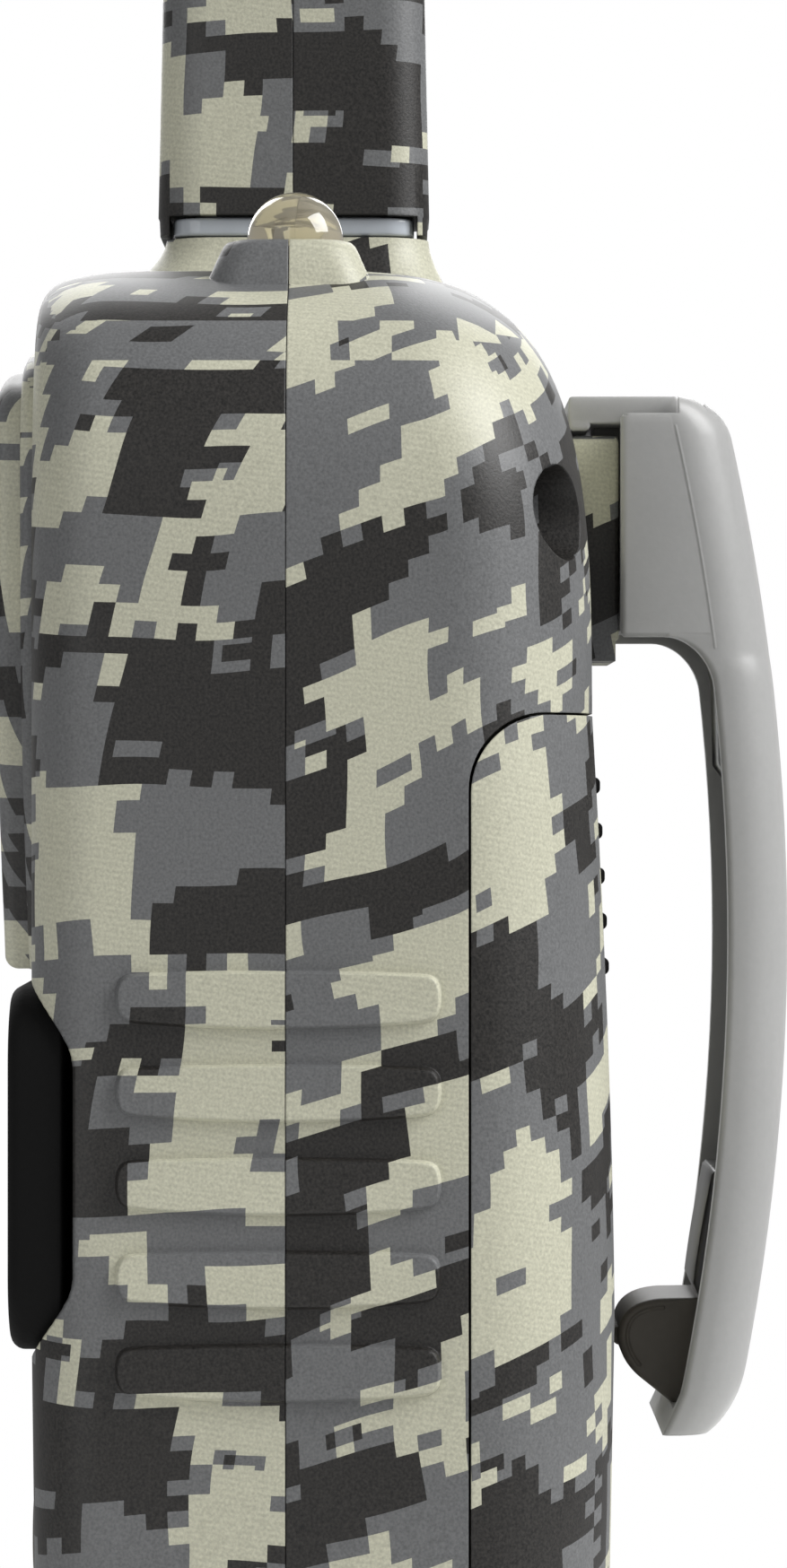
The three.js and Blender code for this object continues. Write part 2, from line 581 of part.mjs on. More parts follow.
// The arm's cross-section at a height, shrunk by its rounded ends.
function armRing(z) {
  const low = Math.max(0, 38.6 - z);
  const high = Math.max(0, z - 97.6);
  const cheek = 2.1 * Math.min(Math.max(0, (z - 81) / 3.7), 1) ** 2;
  const y0 = armOuter(z) - BOW.depth - cheek + 0.5 * low + 2 * high;
  const y1 = armOuter(z) - 0.7 * low - 0.8 * high;
  const edge = Math.min(CLIP.edge, (y1 - y0) * 0.8);
  return ring(z, 0, CLIP.halfX, y0, y1, { x: 0.35, y: 0.3 }, { x: edge, y: edge }, 3);
}
const clipArm = (() => {
  const { halfX, rim, web, pinY, pinZ, pinR } = CLIP;
  const cheeks = box(-halfX, halfX, 19.45, 24, 84.7, 97.9);
  const channel = loft(
    [39, 45, 51, 59, 67, 75, 83, 90, 96, 100].map((z) =>
      ring(z, 0, halfX - rim, 15, armOuter(z) - web, { x: 0.3, y: 0.3 }, { x: 1, y: 1 }, 1),
    ),
  );
  const pinHoles = rod("x", [0, pinY, pinZ], -8.7, 8.7, pinR + 0.1);
  const lidSpace = box(-halfX, halfX, 15, 23.2, 97.9, 101);
  const lidSwing = box(rim - halfX, halfX - rim, 15, 24.9, 96.9, 101);
  return cut(union(loft(ARM_LEVELS.map(armRing)), cheeks), channel, lidSpace, lidSwing, pinHoles);
})();

const clipFoot = (() => {
  const s = new THREE.Shape();
  s.moveTo(22.35, 39.2);
  s.lineTo(24.35, 39.2);
  s.lineTo(25, 41.3);
  s.lineTo(26, 45.6);
  s.lineTo(26.75, 52.8);
  s.lineTo(25, 52.8);
  s.quadraticCurveTo(24.2, 49, 24, 45.3);
  s.lineTo(21.2, 45);
  s.quadraticCurveTo(19.5, 44.8, 19.5, 43.2);
  s.quadraticCurveTo(19.5, 41.4, 20.65, 40.5);
  s.lineTo(22.35, 39.2);
  const nib = rod("x", [0, 19.75, 42.9], -5.5, 5.5, 0.6, 0.6, 8);
  return union(extrude(s, "x", -6.8, 6.8, 0.25, 5), nib);
})();

const clipBracket = (() => {
  const { pinY, pinZ, pinR } = CLIP;
  const plate = box(-7.4, 7.4, 19.6, 21.3, 85.2, 97.6);
  const lid = box(-7.4, 7.4, 16.4, 22.9, 97.4, 99);
  const lip = box(-7.4, 7.4, 16.4, 17.7, 97, 97.6);
  const tongue = union(box(-2.75, 2.75, 18.05, 19.7, 86.1, 97.5), box(-4.5, 4.5, 17.4, 18.1, 86.1, 96.6));
  const eye = (side) => {
    const [x0, x1] = [side * 3.5, side * 7.2].sort((a, b) => a - b);
    return union(rod("x", [0, pinY, pinZ], x0, x1, 2), box(x0, x1, 20, pinY, pinZ - 2, pinZ + 2));
  };
  const bore = rod("x", [0, pinY, pinZ], -9, 9, pinR + 0.1);
  const springWindow = box(-3.3, 3.3, 19.8, 24, pinZ - 2.6, pinZ + 2.6);
  return cut(union(plate, lid, lip, tongue, eye(-1), eye(1)), bore, springWindow);
})();
const clipPin = rod("x", [0, CLIP.pinY, CLIP.pinZ], -8.6, 8.6, CLIP.pinR);

// A straight length of wire between two points.
function strut(from, to, radius, sides = 6) {
  const [a, b] = [new THREE.Vector3(...from), new THREE.Vector3(...to)];
  const g = new THREE.CylinderGeometry(radius, radius, a.distanceTo(b), sides);
  const along = b.clone().sub(a).normalize();
  g.applyQuaternion(new THREE.Quaternion().setFromUnitVectors(new THREE.Vector3(0, 1, 0), along));
  g.translate(...a.add(b).multiplyScalar(0.5).toArray());
  return solidOf(g);
}

const clipSpring = (() => {
  const r = 1.6;
  const thick = 0.38;
  const coil = wire(new Coil(r, r, 5, 5.2), thick, 50).rotate([0, 90, 0]);
  const { pinY, pinZ } = CLIP;
  return union(
    coil.translate([-2.6, pinY, pinZ]),
    strut([2.6, pinY, pinZ - r], [2.6, 25.45, 82.6], thick),
    strut([2.6, 25.45, 82.9], [2.6, 25.5, 76.9], thick),
    strut([2.6, 25.4, 77.1], [2.6, 27.1, 76], thick),
  );
})();

// ---- Screws ----
// A case screw: head with a cross recess, and shank, from the back of its seat towards the front.
function caseScrew(x, z, seatY) {
  const { headR, shankR } = SCREW;
  const cross = [
    [1.5, 0.28],
    [0.28, 1.5],
  ].map(([w, h]) => box(x - w, x + w, seatY + 0.9, seatY + 3, z - h, z + h));
  const head = rod("y", [x, 0, z], seatY, seatY + 1.6, headR, headR * 0.82);
  return cut(union(head, rod("y", [x, 0, z], -7, seatY + 0.1, shankR, shankR, 8)), ...cross);
}
const screwSeat = (z) => (z === SCREW.upperZ ? SCREW.headY - 1.6 : BAY.floorY + BAY.floor + 0.1);

// ---- Materials ----
const material = (color, roughness, metalness = 0) =>
  new THREE.MeshStandardMaterial({ color, roughness, metalness });
const printed = material(0x8c8c80, 0.5);
const blackPlastic = material(0x1c1c1e, 0.6);
const darkPlastic = material(0x3a3733, 0.55);
const greyPlastic = material(0xa8a8a4, 0.45);
const glossGrey = material(0x6f7a86, 0.2);
const clearPlastic = material(0xe6e0cc, 0.08);
const steel = material(0xb9bbbd, 0.35, 0.9);
const copper = material(0xb8743c, 0.35, 0.9);
const boardGreen = material(0x24603c, 0.5);
const paper = material(0x2b2926, 0.9);
const cellWrap = material(0x4b5a72, 0.35);

// ---- Pieces ----
const PIECES = [
  ["front_shell", frontShell, printed],
  ["rear_shell", rearShell, printed],
  ["battery_cover", batteryCover, printed],
  ["cover_grip", coverGrip, darkPlastic],
  ["speaker_panel", speakerPanel, printed],
  ["talk_button", talkButton, blackPlastic],
  ["talk_button_clip_left", stemClip(-1), blackPlastic],
  ["talk_button_clip_right", stemClip(1), blackPlastic],
  ["call_button", callButton, darkPlastic],
  ["power_slider", powerSlider, darkPlastic],
  ["power_switch", slideSwitch, steel],
  ["talk_switch", pushSwitch(TALK.z), blackPlastic],
  ["call_switch", pushSwitch(CALL.z), blackPlastic],
  ["circuit_board", circuitBoard, boardGreen],
  ["radio_can", radioCan, steel],
  ["audio_chip", audioChip, blackPlastic],
  ["capacitor", capacitor, steel],
  ["microphone", microphone, steel],
  ["speaker_frame", speakerFrame, steel],
  ["speaker_cone", speakerCone, paper],
  ["speaker_magnet", speakerMagnet, darkPlastic],
  ["antenna_front", antennaFront, printed],
  ["antenna_rear", antennaRear, printed],
  ["antenna_collar", antennaCollar, glossGrey],
  ["antenna_coil", antennaCoil, copper],
  ["lamp", lamp, clearPlastic],
  ...cellX.map((x, i) => [`battery_${i + 1}`, battery(x), cellWrap]),
  ...cellX.map((x, i) => [`battery_spring_${i + 1}`, batterySpring(x), steel]),
  ["battery_contact", contactStrip, steel],
  ["clip_bracket", clipBracket, greyPlastic],
  ["clip_pin", clipPin, steel],
  ["clip_spring", clipSpring, steel],
  ["clip_arm", clipArm, greyPlastic],
  ["clip_foot", clipFoot, darkPlastic],
  ...SCREWS.map(({ x, z }, i) => [`case_screw_${i + 1}`, caseScrew(x, z, screwSeat(z)), steel]),
];

const walkieTalkie = new THREE.Group();
walkieTalkie.name = "toy_walkie_talkie";
for (const [name, solid, look] of PIECES) {
  const mesh = new THREE.Mesh(geometryOf(solid), look);
  mesh.name = name;
  walkieTalkie.add(mesh);
}

export default walkieTalkie;
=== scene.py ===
"""A toy walkie talkie: smooth shells, controls and belt clip with their finishes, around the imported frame.

Shapes are worked out in millimetres in the frame's own axes (-Y front, +Y back, +Z up), stored in metres.
"""

import math

import bmesh
import bpy
import numpy as np
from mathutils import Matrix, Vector


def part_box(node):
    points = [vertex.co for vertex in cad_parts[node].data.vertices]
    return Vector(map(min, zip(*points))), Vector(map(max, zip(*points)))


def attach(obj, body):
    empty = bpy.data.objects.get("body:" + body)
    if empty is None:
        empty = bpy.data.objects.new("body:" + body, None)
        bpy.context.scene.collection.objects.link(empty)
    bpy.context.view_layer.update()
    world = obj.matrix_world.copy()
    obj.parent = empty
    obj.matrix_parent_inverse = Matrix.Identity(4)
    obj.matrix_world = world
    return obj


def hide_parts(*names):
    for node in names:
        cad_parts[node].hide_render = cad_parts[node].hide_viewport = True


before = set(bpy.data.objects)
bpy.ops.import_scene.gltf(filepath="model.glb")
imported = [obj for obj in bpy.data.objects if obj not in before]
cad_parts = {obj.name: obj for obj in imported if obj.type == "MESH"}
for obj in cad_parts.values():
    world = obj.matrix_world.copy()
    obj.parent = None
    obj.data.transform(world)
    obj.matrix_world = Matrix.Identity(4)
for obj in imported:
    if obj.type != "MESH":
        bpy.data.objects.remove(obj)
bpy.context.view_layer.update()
MM = 0.001


def low_high(node):
    """Lowest and highest corners of a CAD node, in millimetres."""
    low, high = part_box(node)
    return np.array(low) / MM, np.array(high) / MM


# ---- Sizes read from the frame ----
COVER_LOW, COVER_HIGH = low_high("battery_cover")
SHELL_LOW, SHELL_HIGH = low_high("front_shell")
PANEL_LOW, PANEL_HIGH = low_high("speaker_panel")
TALK_LOW, TALK_HIGH = low_high("talk_button")
CALL_LOW, CALL_HIGH = low_high("call_button")
ANTENNA_LOW, ANTENNA_HIGH = low_high("antenna_front")
ANTENNA_BACK = low_high("antenna_rear")[1][1]
LAMP_LOW, LAMP_HIGH = low_high("lamp")
ARM_LOW, ARM_HIGH = low_high("clip_arm")
PIN_LOW, PIN_HIGH = low_high("clip_pin")
BRACKET_HIGH = low_high("clip_bracket")[1]
SLIDER_LOW, SLIDER_HIGH = low_high("power_slider")
SCREW_LOW, SCREW_HIGH = low_high("case_screw_2")
CELL_LOW, CELL_HIGH = low_high("battery_2")

NECK_TOP = SHELL_HIGH[2]
HEIGHT = NECK_TOP - 3.5
HALF_WIDTH = COVER_HIGH[0]
FRONT_DEPTH = -SHELL_LOW[1] - 0.8
REAR_DEPTH = COVER_HIGH[1]
WALL = 1.7
SEAM = 0.025
FRONT_CORNER = 4.0
REAR_CORNER = (12.0, 8.5)
REAR_SHARE = 0.55
BASE_ROUND = 3.5
SIDE_SHOULDER, FRONT_SHOULDER, REAR_SHOULDER = 88, 99, 78
TAPER_TOP = 45
COVER_TOP = COVER_HIGH[2]
COVER_SEAM_Y = COVER_LOW[1]
COVER_CORNER = 4.4
COVER_GAP = 0.14
SPEAKER_Z = (PANEL_LOW[2] + PANEL_HIGH[2]) / 2 + 0.1
TALK_Z = (TALK_LOW[2] + TALK_HIGH[2]) / 2
CALL_Z = (CALL_LOW[2] + CALL_HIGH[2]) / 2
PIN_Y = (PIN_LOW[1] + PIN_HIGH[1]) / 2
PIN_Z = (PIN_LOW[2] + PIN_HIGH[2]) / 2
ANTENNA_X = (ANTENNA_LOW[0] + ANTENNA_HIGH[0]) / 2
ANTENNA_Y = (ANTENNA_LOW[1] + ANTENNA_BACK) / 2
ANTENNA_BASE = NECK_TOP + 1.4
ANTENNA_TOP = ANTENNA_HIGH[2]
LAMP_X = (LAMP_LOW[0] + LAMP_HIGH[0]) / 2
LAMP_Y = (LAMP_LOW[1] + LAMP_HIGH[1]) / 2
LAMP_R = 2.8
LAMP_Z = LAMP_HIGH[2] - LAMP_R
SCREW_X = (SCREW_LOW[0] + SCREW_HIGH[0]) / 2
SCREW_Z = (SCREW_LOW[2] + SCREW_HIGH[2]) / 2


# ---- Mesh building ----
def solid(points, faces):
    """A loose mesh object from millimetre points."""
    mesh = bpy.data.meshes.new("solid")
    mesh.from_pydata([tuple(p) for p in np.asarray(points, float) * MM], [], faces)
    bm = bmesh.new()
    bm.from_mesh(mesh)
    bmesh.ops.remove_doubles(bm, verts=bm.verts, dist=1e-7)
    bmesh.ops.recalc_face_normals(bm, faces=bm.faces)
    bm.to_mesh(mesh)
    bm.free()
    obj = bpy.data.objects.new("solid", mesh)
    bpy.context.scene.collection.objects.link(obj)
    return obj


def loft(rings):
    """A closed solid through equal rings of points, with flat ends."""
    count = len(rings[0])
    faces = [list(range(count))[::-1], list(range((len(rings) - 1) * count, len(rings) * count))]
    for k in range(len(rings) - 1):
        for i in range(count):
            j = (i + 1) % count
            faces.append([k * count + i, k * count + j, (k + 1) * count + j, (k + 1) * count + i])
    return solid(np.vstack(rings), faces)


def ring(z, cx, x, y0, y1, front, rear, steps=12, crease=0.0):
    """A ring at height z with corners (x, y) in size. crease starts the rear arcs at an angle."""
    corners = (
        (cx + x - rear[0], y1 - rear[1], rear, 0),
        (cx - x + rear[0], y1 - rear[1], rear, 1),
        (cx - x + front[0], y0 + front[1], front, 2),
        (cx + x - front[0], y0 + front[1], front, 3),
    )
    points = []
    for ox, oy, size, quarter in corners:
        t = np.linspace(0, 1, steps + 1)
        if quarter == 0:
            t = crease + (1 - crease) * t
        elif quarter == 1:
            t = (1 - crease) * t
        a = (quarter + t) * math.pi / 2
        level = np.full(len(a), z)
        points.append(np.column_stack([ox + size[0] * np.cos(a), oy + size[1] * np.sin(a), level]))
    return np.vstack(points)


def round_rect(hx, hy, r, cx=0.0, cy=0.0, steps=10):
    """A function of growth that gives a rounded rectangle's outline."""

    def outline(grow=0.0):
        a = np.linspace(0, math.pi / 2, steps + 1)
        radius = max(r + grow, 0.02)
        points = []
        for quarter, (sx, sy) in enumerate(((1, 1), (-1, 1), (-1, -1), (1, -1))):
            ox, oy = cx + sx * (hx + grow - radius), cy + sy * (hy + grow - radius)
            turn = a + quarter * math.pi / 2
            points.append(np.column_stack([ox + radius * np.cos(turn), oy + radius * np.sin(turn)]))
        return np.vstack(points)

    return outline


def free_outline(points):
    """A function of growth for any smooth outline, moved along its own normals."""
    points = np.asarray(points, float)
    ahead, behind = np.roll(points, -1, 0), np.roll(points, 1, 0)
    along = ahead - behind
    normal = np.column_stack([along[:, 1], -along[:, 0]]) / np.linalg.norm(along, axis=1)[:, None]
    area = np.sum(points[:, 0] * ahead[:, 1] - ahead[:, 0] * points[:, 1])
    return lambda grow=0.0: points + normal * grow * (1 if area > 0 else -1)


def slab(outline, axis, start, end, round_start=0.0, round_end=0.0, steps=5):
    """An outline pushed along "x" (y, z), "y" (x, z) or "z" (x, y), with rounded edges at either end."""
    way = 1 if end > start else -1
    stations = []
    for radius, base, sign in ((round_start, start, 1), (round_end, end, -1)):
        if radius:
            turn = np.linspace(0, math.pi / 2, steps + 1)
            part = [
                (-radius * (1 - math.sin(t)), base + sign * way * radius * (1 - math.cos(t)))
                for t in turn
            ]
        else:
            part = [(0.0, base)]
        stations += part if sign > 0 else part[::-1]
    rings = []
    for grow, place in stations:
        flat = outline(grow)
        level = np.full(len(flat), place)
        u, v = flat.T
        rings.append(np.column_stack({"x": (level, u, v), "y": (u, level, v), "z": (u, v, level)}[axis]))
    return loft(rings)


def block(x0, x1, y0, y1, z0, z1):
    """A plain box between two limits on each axis."""
    outline = free_outline([(x0, y0), (x1, y0), (x1, y1), (x0, y1)])
    return slab(outline, "z", z0, z1)


def turned(profile, axis, at, sides=56):
    """A turned solid from (radius, distance) pairs along an axis through the point at."""
    a = np.linspace(0, 2 * math.pi, sides, endpoint=False)
    rings = []
    for r, place in profile:
        u, v = max(r, 0.003) * np.cos(a), max(r, 0.003) * np.sin(a)
        level = np.full(sides, place)
        rings.append({
            "x": np.column_stack([level, at[1] + u, at[2] + v]),
            "y": np.column_stack([at[0] + u, level, at[2] + v]),
            "z": np.column_stack([at[0] + u, at[1] + v, level]),
        }[axis])
    return loft(rings)


def rod(axis, at, start, end, radius):
    """A cylinder between two coordinates of an axis, through the point at."""
    return turned(((radius, start), (radius, end)), axis, at, 40)


def wire(path, radius, sides=10):
    """A round wire along a path of points."""
    path = np.asarray(path, float)
    along = np.gradient(path, axis=0)
    along /= np.linalg.norm(along, axis=1)[:, None]
    side = np.cross(along[0], (0.31, 0.59, 0.74))
    a = np.linspace(0, 2 * math.pi, sides, endpoint=False)
    rings = []
    for point, forward in zip(path, along):
        side = side - forward * (side @ forward)
        side /= np.linalg.norm(side)
        other = np.cross(forward, side)
        rings.append(point + radius * (np.outer(np.cos(a), side) + np.outer(np.sin(a), other)))
    return loft(rings)


def combine(base, operation, tools):
    """Joins tools to base, or cuts them from it, and uses them up."""
    for tool in tools:
        modifier = base.modifiers.new("combine", "BOOLEAN")
        modifier.operation = operation
        modifier.solver = "MANIFOLD"
        modifier.object = tool
        done = bpy.data.meshes.new_from_object(base.evaluated_get(bpy.context.evaluated_depsgraph_get()))
        base.modifiers.clear()
        old = base.data
        base.data = done
        bpy.data.meshes.remove(old)
        bpy.data.objects.remove(tool)
    return base


def join(base, *tools):
    """base with the tools added."""
    return combine(base, "UNION", tools)


def cut(base, *tools):
    """base with the tools cut away."""
    return combine(base, "DIFFERENCE", tools)


def common(base, *tools):
    """The part of base that lies inside every tool."""
    return combine(base, "INTERSECT", tools)


def piece(obj, name, body, nodes, material, sharp=35.0):
    """Names a finished solid, shades it smooth with sharp edges, and puts it on its body."""
    bm = bmesh.new()
    bm.from_mesh(obj.data)
    bmesh.ops.dissolve_degenerate(bm, edges=bm.edges, dist=2e-6)
    for edge in bm.edges:
        edge.smooth = edge.calc_face_angle(math.pi) < math.radians(sharp)
    for face in bm.faces:
        face.smooth = True
    bm.to_mesh(obj.data)
    bm.free()
    obj.name = name
    obj.data.name = name
    obj.data.materials.clear()
    obj.data.materials.append(material)
    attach(obj, body)
    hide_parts(*nodes)
    return obj


# ---- Body form ----
def falloff(z, start, power):
    """1 up to a height, then down to 0 at the top along a superellipse."""
    t = np.clip((z - start) / (HEIGHT - start), 0, 1)
    return (1 - t**power) ** (1 / power)


def body_at(z):
    """Half-width, front depth and rear depth of the body at a height."""
    low = np.maximum(0, 1 - z / TAPER_TOP)
    up = np.clip((z - TAPER_TOP) / 35, 0, 1)
    t = np.clip(1 - z / BASE_ROUND, 0, 1)
    inset = BASE_ROUND * (1 - np.sqrt(1 - t * t))
    w = (HALF_WIDTH - low) * falloff(z, SIDE_SHOULDER, 3.2) - inset
    f = (FRONT_DEPTH - 0.5 * low) * falloff(z, FRONT_SHOULDER, 6) - inset
    r = (REAR_DEPTH - 0.8 * low - 1.3 * up**1.6) * falloff(z, REAR_SHOULDER, 3.5) - inset
    return w, f, r


def body_levels():
    """Heights of the body's rings, closer together where it curves."""
    base = BASE_ROUND * (1 - np.cos(np.linspace(0, math.pi / 2, 9)))
    sides = np.linspace(BASE_ROUND, REAR_SHOULDER, 26)[1:]
    rise = HEIGHT - 0.04 - REAR_SHOULDER
    dome = REAR_SHOULDER + rise * np.sin(np.linspace(0, math.pi / 2, 44))[1:]
    return np.concatenate([base, sides, dome])


def body_corners(w, f, r):
    """Corner sizes (x, y) at the front and at the rear, for a given half-width and depths."""
    front = (np.minimum(FRONT_CORNER, w / 2), np.minimum(FRONT_CORNER, f / 2))
    rear = (np.minimum(REAR_CORNER[0], w * REAR_SHARE), np.minimum(REAR_CORNER[1], r * REAR_SHARE))
    return front, rear


def body_solid(inset=0.0):
    """The solid body, or the same body drawn in by an inset."""
    rings = []
    shrink = (HEIGHT - 2 * inset) / HEIGHT
    for z in body_levels():
        w, f, r = body_at(z)
        front, rear = ([max(size - inset, 0.4) for size in corner] for corner in body_corners(w, f, r))
        rings.append(ring(inset + z * shrink, 0, w - inset, inset - f, r - inset, front, rear))
    return loft(rings)


# ---- Outlines shared by pieces that meet ----
def curve(*points, steps=14):
    """Points along a quadratic curve, without its end point."""
    a, b, c = (np.array(p, float) for p in points)
    t = np.linspace(0, 1, steps, endpoint=False)[:, None]
    return (1 - t) ** 2 * a + 2 * t * (1 - t) * b + t**2 * c


def shield():
    """The speaker panel's outline in (x, z)."""
    top, bottom = PANEL_HIGH[2], PANEL_LOW[2]
    side, foot = PANEL_HIGH[0], 12.0
    right = np.vstack([
        curve((foot, bottom), (side, bottom + 12), (side, bottom + 24)),
        [(side, bottom + 24), (side, top - 8)],
        curve((side, top - 6), (side, top - 2), (side - 4, top - 1.4)),
        curve((side - 4, top - 1.4), (side / 2, top + 0.1), (0, top - 0.3), steps=10),
    ])
    left = (right * (-1, 1))[::-1]
    return free_outline(np.vstack([right, [(0, top - 0.3)], left[:-1], [(-foot, bottom), (0, bottom)]]))


TALK_OUTLINE = round_rect(TALK_HIGH[0], (TALK_HIGH[2] - TALK_LOW[2]) / 2, 4.4, 0, TALK_Z, steps=14)
CALL_HALF_X, CALL_HALF_Z = 6.2, 3.6
CALL_OUTLINE = round_rect(CALL_HALF_X, CALL_HALF_Z, CALL_HALF_Z - 0.05, 0, CALL_Z)
PANEL_SEAT = SHELL_LOW[1]
PANEL_FACE = PANEL_LOW[1]
TALK_FLOOR = -11.7
STEM_X = 14


def cover_zone(grow=0.0):
    """The battery cover's share of the body, seen from the side."""
    y, top = COVER_SEAM_Y - grow, COVER_TOP + grow
    turn = np.linspace(math.pi / 2, math.pi, 16)
    arc = np.column_stack([
        y + COVER_CORNER + COVER_CORNER * np.cos(turn),
        top - COVER_CORNER + COVER_CORNER * np.sin(turn),
    ])
    points = np.vstack([[(y, -2), (REAR_DEPTH + 6, -2), (REAR_DEPTH + 6, top)], arc])
    return slab(lambda _: points, "x", -HALF_WIDTH - 3, HALF_WIDTH + 3)


# ---- Casing ----
GRIP_COUNT, GRIP_TOP, GRIP_PITCH = 5, 64.1, 5.2
GRIP_FRONT, GRIP_BACK, GRIP_PROUD = -9.4, 8.6, 0.55
GRIP_FILLET, GRIP_EDGE, GRIP_BLUNTNESS = 0.12, 0.1, 36


def side_grip(z, side):
    """One moulded bar across the parting plane, a little taller in its middle, with blunt ends."""
    mid, half = (GRIP_FRONT + GRIP_BACK) / 2, (GRIP_BACK - GRIP_FRONT) / 2
    sweep = half * np.sin(np.linspace(math.pi / 2, -math.pi / 2, 41))
    y = np.concatenate([sweep[:-1], -sweep[:-1]])
    end = (1 - np.abs(y / half) ** GRIP_BLUNTNESS) ** 0.5
    swell = 1 - (y / half) ** 2
    upper = np.arange(len(y)) < len(y) / 2
    height = np.where(upper, (1.2 + 0.2 * swell) * end, -(1.25 + 0.45 * swell) * end)
    outline = free_outline(np.column_stack([mid + y, z + height]))
    inside, face = side * (HALF_WIDTH - 1), side * (HALF_WIDTH + GRIP_PROUD)
    rings = []
    stations = (
        (GRIP_FILLET, inside), (GRIP_FILLET, side * (HALF_WIDTH - 0.05)),
        (0, face - side * GRIP_FILLET), (-GRIP_EDGE, face),
    )
    for grow, place in stations:
        flat = outline(grow)
        rings.append(np.column_stack([np.full(len(flat), place), flat]))
    return loft(rings)


def neck():
    """The flared root of the antenna."""
    rings = []
    for z in np.linspace(104.2, NECK_TOP, 18):
        flare = min(((NECK_TOP - z) / 2.3) ** 1.6, 2.6)
        corner = (3.0 + 0.4 * flare, 3.2 + 0.5 * flare)
        y0, y1 = -8.15 - 1.5 * flare, 8.2 + 0.75 * flare
        rings.append(ring(z, ANTENNA_X, 5.9 + 0.8 * flare, y0, y1, corner, corner, 8))
    foot = rings[0].copy()
    foot[:, 2] = 99
    return loft([foot] + rings)


def neck_bore():
    """The hole through the neck that the collar's root stands in."""
    corner = (2.0, 2.0)
    y0, y1 = ANTENNA_Y - 6.9, ANTENNA_Y + 6.9
    return loft([ring(z, ANTENNA_X, 4.6, y0, y1, corner, corner, 6) for z in (96, 112)])


def lamp_stand():
    """The stand the lamp looks out of: sloping sides and a flat, round-edged top."""
    rings = []
    corner = (2.0, 2.0)
    profile = [
        (100, 0), (104.6, 0), (105.4, -0.2), (106.7, -0.75), (107.1, -0.95), (107.3, -1.15), (107.4, -1.4),
    ]
    for z, grow in profile:
        rings.append(ring(z, LAMP_X, 4.6 + grow, -4.75 - grow, 4.75 + grow, corner, corner, 8))
    return loft(rings)


def lamp_bore():
    """The hole the lamp looks out of."""
    return rod("z", (LAMP_X, LAMP_Y, 0), 98, 112, LAMP_R + 0.15)


def casing():
    """The whole hollow casing before it is parted into shells."""
    grips = [side_grip(GRIP_TOP - i * GRIP_PITCH, side) for i in range(GRIP_COUNT) for side in (-1, 1)]
    whole = join(body_solid(), neck(), lamp_stand(), *grips)
    hollow = cut(body_solid(WALL), cut(neck(), neck_bore()), cut(lamp_stand(), lamp_bore()))
    return cut(whole, hollow, neck_bore(), lamp_bore())


LOW_SCREW_Z = 8.6


def screw_rods(start, end, radius, rows=(SCREW_Z, LOW_SCREW_Z)):
    """Rods from front to back on the screws' axes."""
    return [rod("y", (side * SCREW_X, 0, z), start, end, radius) for z in rows for side in (-1, 1)]


def base_tab(grow):
    """The small tab on the casing's floor, or the room round it."""
    return block(-6 - grow, 6 + grow, -1, 4 + grow, -grow, WALL + grow)


def front_shell(whole):
    """The front half, with a plinth for the speaker panel, pockets for the buttons and screw posts."""
    half = common(whole, block(-40, 40, -30, -SEAM, -5, 115))
    plinth = slab(lambda g: shield()(1.3 + g), "y", -12.9, PANEL_SEAT, 0, 0.5)
    talk_web = common(slab(TALK_OUTLINE, "y", TALK_FLOOR + WALL, TALK_FLOOR), body_solid())
    wide = slab(lambda g: TALK_OUTLINE(1.4 + g), "y", TALK_FLOOR + WALL, TALK_FLOOR)
    web_rim = common(wide, body_solid())
    kept = join(half, plinth, join(talk_web, web_rim), base_tab(0), *screw_rods(-13.4, -0.3, 3))
    slots = [slab(round_rect(0.6, 1.6, 0.55, x, 19, 5), "y", -10, -20) for x in (-3, 0, 3)]
    stems = [rod("y", (x, 0, TALK_Z), -13, -9, 2.4) for x in (-STEM_X, 0, STEM_X)]
    slider = slab(round_rect(1.7, 4.6, 0.5, -6.5, 82, 4), "x", -40, -20)
    return cut(
        kept,
        slab(lambda g: shield()(0.25 + g), "y", -13.8, -20),
        slab(lambda g: TALK_OUTLINE(0.6 + g), "y", TALK_FLOOR, -20),
        slab(lambda g: CALL_OUTLINE(0.25 + g), "y", -5, -20),
        rod("y", (0, 0, SPEAKER_Z), -20, -10, 12),
        slider,
        *screw_rods(-9, 5, 1.3),
        *stems,
        *slots,
    )


BAY_HALF, BAY_FLOOR, BAY_LOW, BAY_HIGH = 17.6, 2.4, 15.5, 70.6
RAIL_HALF, RAIL_Y, RAIL_LOW, RAIL_HIGH = 7.0, 19.4, 84.5, 96.7


def battery_bay():
    """Floor, walls, ends and stepped roof of the battery bay, inside the rear shell."""
    floor = block(-30, 30, BAY_FLOOR, BAY_FLOOR + 1.5, 1, COVER_TOP - 0.4)
    roof = block(-30, 30, BAY_FLOOR, COVER_SEAM_Y - 0.4, COVER_TOP - 1.9, COVER_TOP - 0.4)
    lip = block(-30, 30, BAY_FLOOR, 30, COVER_TOP + 0.4, COVER_TOP + 1.9)
    near_skin = common(join(floor, roof, lip), body_solid(WALL - 0.4))
    step = common(block(-30, 30, BAY_FLOOR, 30, COVER_TOP - 1.9, COVER_TOP + 0.5), body_solid(WALL + 0.4))
    walls = []
    for side in (-1, 1):
        a, b = sorted((side * BAY_HALF, side * (BAY_HALF - 1.2)))
        walls.append(block(a, b, BAY_FLOOR + 1, 12, BAY_LOW, BAY_HIGH))
    for z in (BAY_LOW, BAY_HIGH - 1.3):
        walls.append(block(-BAY_HALF, BAY_HALF, BAY_FLOOR + 1, 13, z, z + 1.3))
    return join(near_skin, step, *walls)


